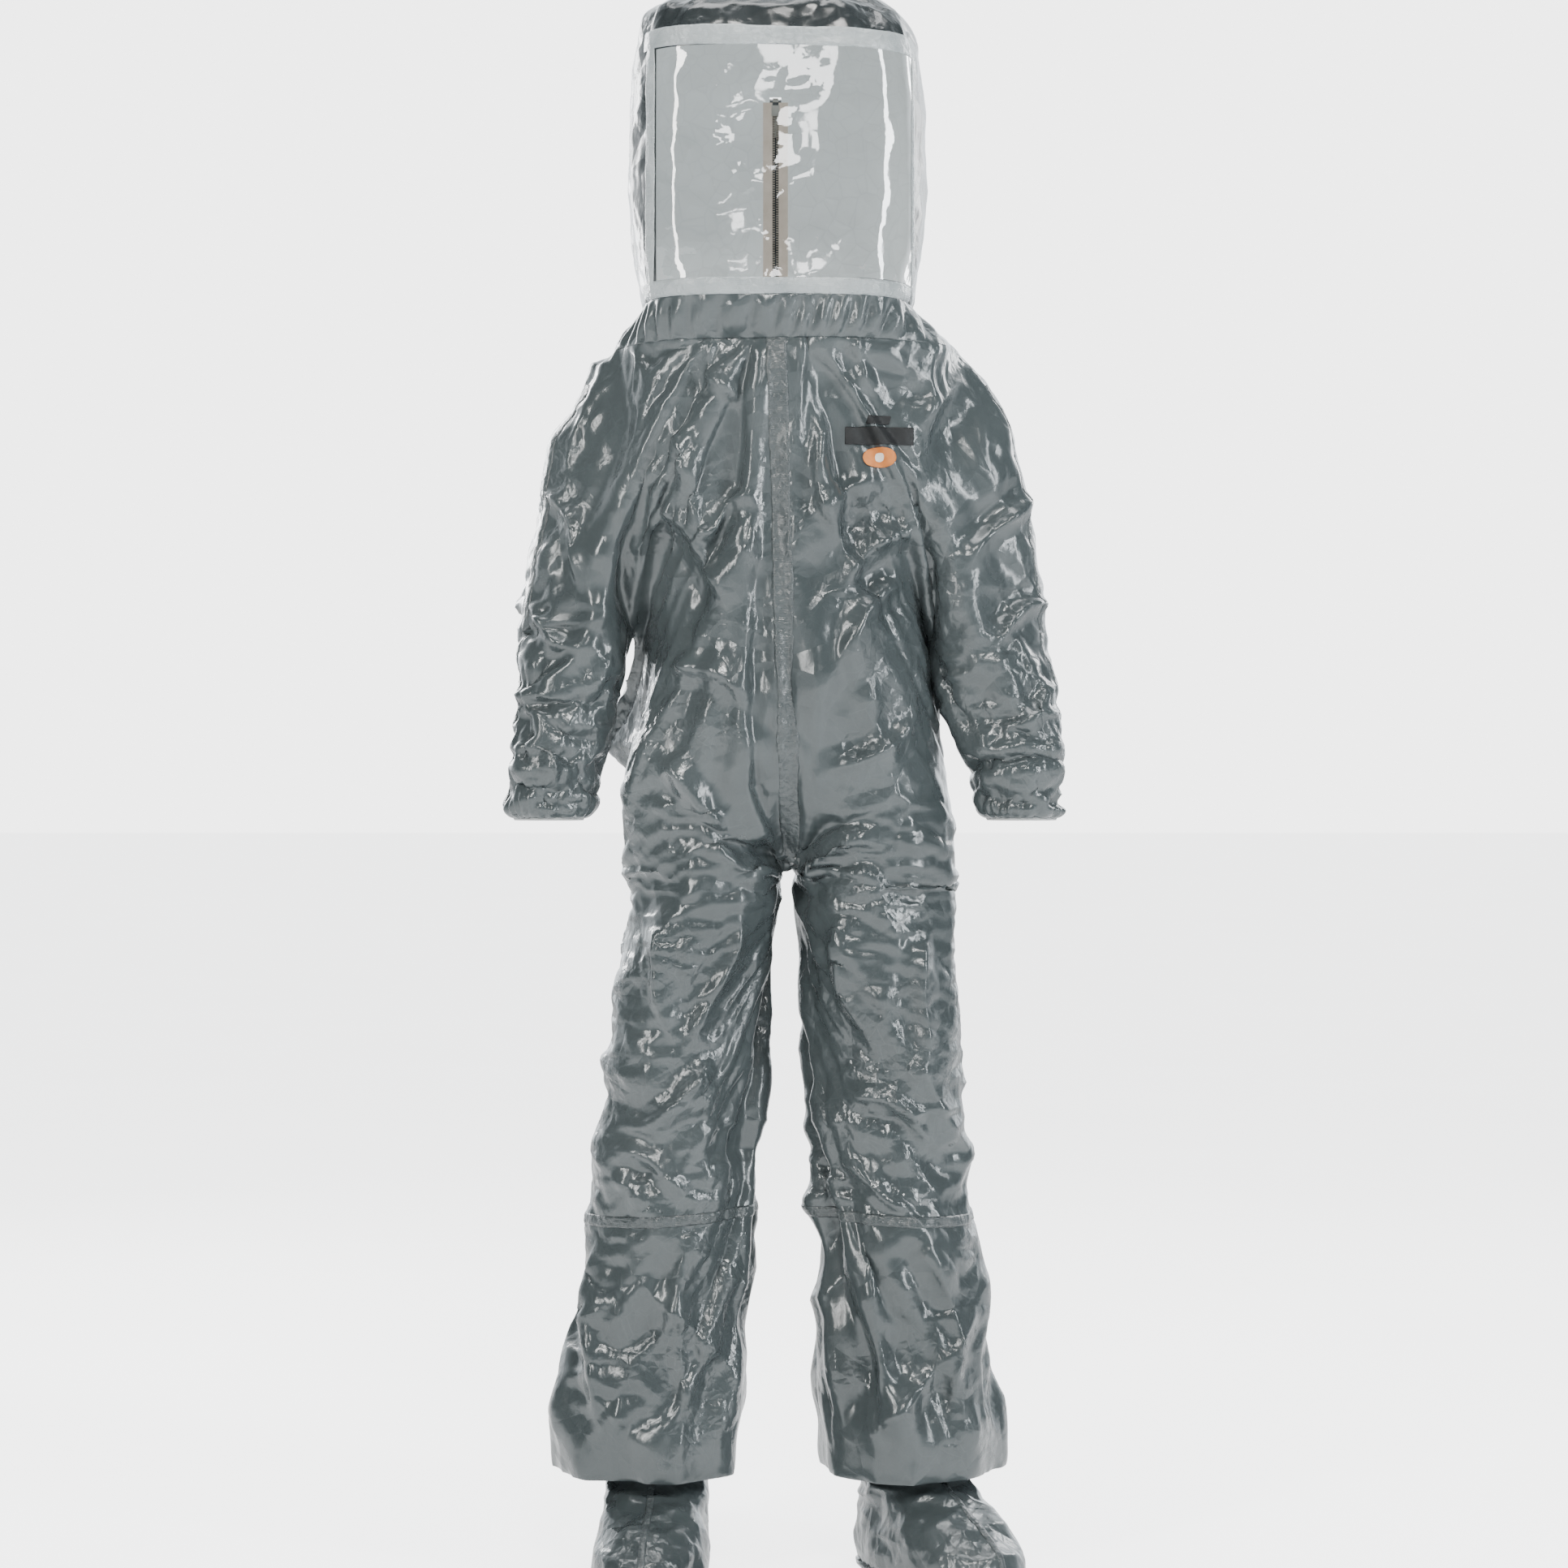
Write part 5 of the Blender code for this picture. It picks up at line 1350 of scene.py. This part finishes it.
def make_storm_flap():
    """The flap over the zipper, slightly puckered along its sewn edge, with two stitch rows."""
    low, high = node_box("storm_flap")
    tree = tree_of_nodes("storm_flap")
    columns, rows = 22, 200
    verts, faces = [], []
    for row in range(rows + 1):
        for column in range(columns + 1):
            x = low.x + 0.0005 + (high.x - low.x - 0.001) * column / columns
            z = low.z + 0.0005 + (high.z - low.z - 0.001) * row / rows
            hit = tree.ray_cast(Vector((x, high.y + 0.1, z)), -Y, 0.3)
            verts.append(hit[0] if hit[0] is not None else Vector((x, low.y, z)))
    for row in range(rows):
        for column in range(columns):
            first = row * (columns + 1) + column
            faces.append((first, first + columns + 1, first + columns + 2, first + 1))
    item = new_object("storm_flap_cloth", verts, faces, LAMINATE)
    points = vertices(item.data)
    wave = 0.5 + 0.5 * soft_noise(points * np.array((1.0, 1.0, 1.0)), 0.035, 261)
    lift = 0.0016 * wave + 0.05 * np.maximum(0.0, facets(points, 0.03, 271))
    points[:, 1] += lift * smooth((high.x - points[:, 0]) / 0.008)
    set_vertices(item.data, points)
    thicken = item.modifiers.new("thickness", "SOLIDIFY")
    thicken.thickness = 0.0008
    thicken.offset = -1.0
    bake(item)
    item.data.shade_smooth()
    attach(item, "storm_flap")
    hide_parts("storm_flap")
    cloth = tree_of(item)
    for index, x in enumerate((high.x - 0.004, low.x + 0.003)):
        path = [Vector((x, high.y + 0.02, z)) for z in np.arange(low.z + 0.004, high.z - 0.003, 0.004)]
        row_of = ribbon("storm_flap_seam_" + str(index), path, 0.0022, cloth, 0.0007, SEAM, 2, 0.0002, 281)
        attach(row_of, "storm_flap")


def dress_nodes():
    """Finish the CAD pieces that stay as they are."""
    looks = {
        "zipper_tape_left": ZIP_CLOTH, "zipper_tape_right": ZIP_CLOTH, "zipper_top_stop": METAL,
        "zipper_bottom_stop": METAL, "zipper_slider": METAL, "zipper_pull": METAL,
        "storm_flap_hook": HOOK, "storm_flap_loop": HOOK,
    }
    for side in SIDES:
        looks.update({
            "exhaust_valve_body_" + side: PLASTIC, "exhaust_cover_" + side: PLASTIC,
            "exhaust_diaphragm_" + side: RUBBER, "cuff_elastic_" + side: ELASTIC, "sole_" + side: LAMINATE,
        })
    for name, look in looks.items():
        node = frame["nodes"][name]
        if not node.material_slots:
            node.data.materials.append(look)
        for slot in node.material_slots:
            slot.material = look


# ---------------------------------------------------------------- stage

def make_stage():
    floor = Nodes("pale_floor")
    colour = floor.ramp(floor.noise(1.5, 3.0), 0.3, 0.7, (0.90, 0.90, 0.90), (0.92, 0.92, 0.92))
    seen = floor.add("ShaderNodeLightPath").outputs["Is Camera Ray"]
    look = floor.set(
        Base_Color=colour, Roughness=0.9, Specular_IOR_Level=0.1, Emission_Color=colour,
        Emission_Strength=floor.range(seen, 0.0, 1.0, 0.5, 3.4),
    )
    size = 60.0
    corners = [(-size, -size, FLOOR_Z), (size, -size, FLOOR_Z), (size, size, FLOOR_Z), (-size, size, FLOOR_Z)]
    item = new_object("floor", corners, [(0, 1, 2, 3)], look)
    world = bpy.data.worlds.new("studio")
    bpy.context.scene.world = world
    world.use_nodes = True
    nodes, links = world.node_tree.nodes, world.node_tree.links
    seen = nodes["Background"]
    seen.inputs[0].default_value = (0.96, 0.96, 0.96, 1.0)
    seen.inputs[1].default_value = 4.4
    # the lit surroundings: a white backdrop behind the suit, a dim room in front of it
    lit = nodes.new("ShaderNodeBackground")
    place = nodes.new("ShaderNodeTexCoord")
    split = nodes.new("ShaderNodeSeparateXYZ")
    spread = nodes.new("ShaderNodeMapRange")
    links.new(place.outputs["Generated"], split.inputs[0])
    links.new(split.outputs[1], spread.inputs[0])
    for index, value in enumerate((0.25, 0.95, 0.08, 3.2), start=1):
        spread.inputs[index].default_value = value
    links.new(spread.outputs[0], lit.inputs[1])
    lit.inputs[0].default_value = (0.90, 0.96, 1.0, 1.0)
    path = nodes.new("ShaderNodeLightPath")
    mix = nodes.new("ShaderNodeMixShader")
    links.new(path.outputs["Is Camera Ray"], mix.inputs[0])
    links.new(lit.outputs[0], mix.inputs[1])
    links.new(seen.outputs[0], mix.inputs[2])
    links.new(mix.outputs[0], nodes["World Output"].inputs["Surface"])


def softbox(name, place, aim, size, power, colour=(1.0, 1.0, 1.0)):
    lamp = bpy.data.lights.new(name, "AREA")
    lamp.shape = "RECTANGLE"
    lamp.size, lamp.size_y = size
    lamp.energy = power
    lamp.color = colour
    item = link(bpy.data.objects.new(name, lamp))
    item.location = place
    item.rotation_euler = (Vector(aim) - Vector(place)).to_track_quat("-Z", "Y").to_euler()
    item.visible_camera = False


def make_lights():
    softbox("front_box", (0.45, -3.2, 1.9), (0.0, 0.0, 0.0), (0.8, 0.6), 62.0, (1.0, 0.97, 0.93))
    softbox("shield_box", (0.12, -3.3, 0.98), (0.0, 0.0, 0.1), (0.50, 0.34), 6.0)
    softbox("low_shield_box", (-0.12, -3.3, 0.60), (0.0, 0.0, 0.1), (0.40, 0.09), 1.2)
    softbox("left_strip", (-2.1, -2.5, 0.7), (0.0, 0.0, -0.4), (0.45, 2.0), 62.0, (1.0, 0.98, 0.95))
    softbox("right_strip", (2.6, -1.7, 0.3), (0.0, 0.0, -0.5), (0.35, 2.2), 60.0, (0.93, 0.97, 1.0))
    softbox("top_box", (0.0, -0.3, 2.9), (0.0, 0.0, 0.0), (2.4, 1.6), 90.0)
    softbox("back_left", (-1.8, 2.6, 0.8), (0.0, 0.0, -0.3), (0.6, 1.8), 55.0)
    softbox("back_right", (2.2, 2.3, 1.0), (0.0, 0.0, -0.3), (0.6, 1.8), 32.0)


def make_camera():
    """Level, in front of the suit, far enough that it shows as in a product picture."""
    distance = 4.0
    frame_height = 1.932
    lens = bpy.data.cameras.new("camera")
    lens.sensor_width = 36.0
    lens.lens = lens.sensor_width * distance / frame_height
    lens.clip_end = 200.0
    item = link(bpy.data.objects.new("camera", lens))
    item.location = (-0.0015, -distance, at(0.964))
    item.rotation_euler = (math.pi / 2.0, 0.0, 0.0)
    bpy.context.scene.camera = item


make_camera()
coverall = make_coverall()
pieces = split_coverall(coverall)
hood_surface = make_hood()


def joined_tree(items):
    verts, faces = [], []
    for item in items:
        base = len(verts)
        verts += [Vector(p) for p in vertices(item.data)]
        faces += [[base + i for i in p.vertices] for p in item.data.polygons]
    return BVHTree.FromPolygons(verts, faces)


suit_surface = joined_tree(pieces.values())
make_neck(hood_surface, suit_surface)
make_seams(suit_surface)
make_badge(suit_surface)
for side_name in SIDES:
    make_bootie(side_name)
make_chains()
make_storm_flap()
dress_nodes()
make_stage()
make_lights()
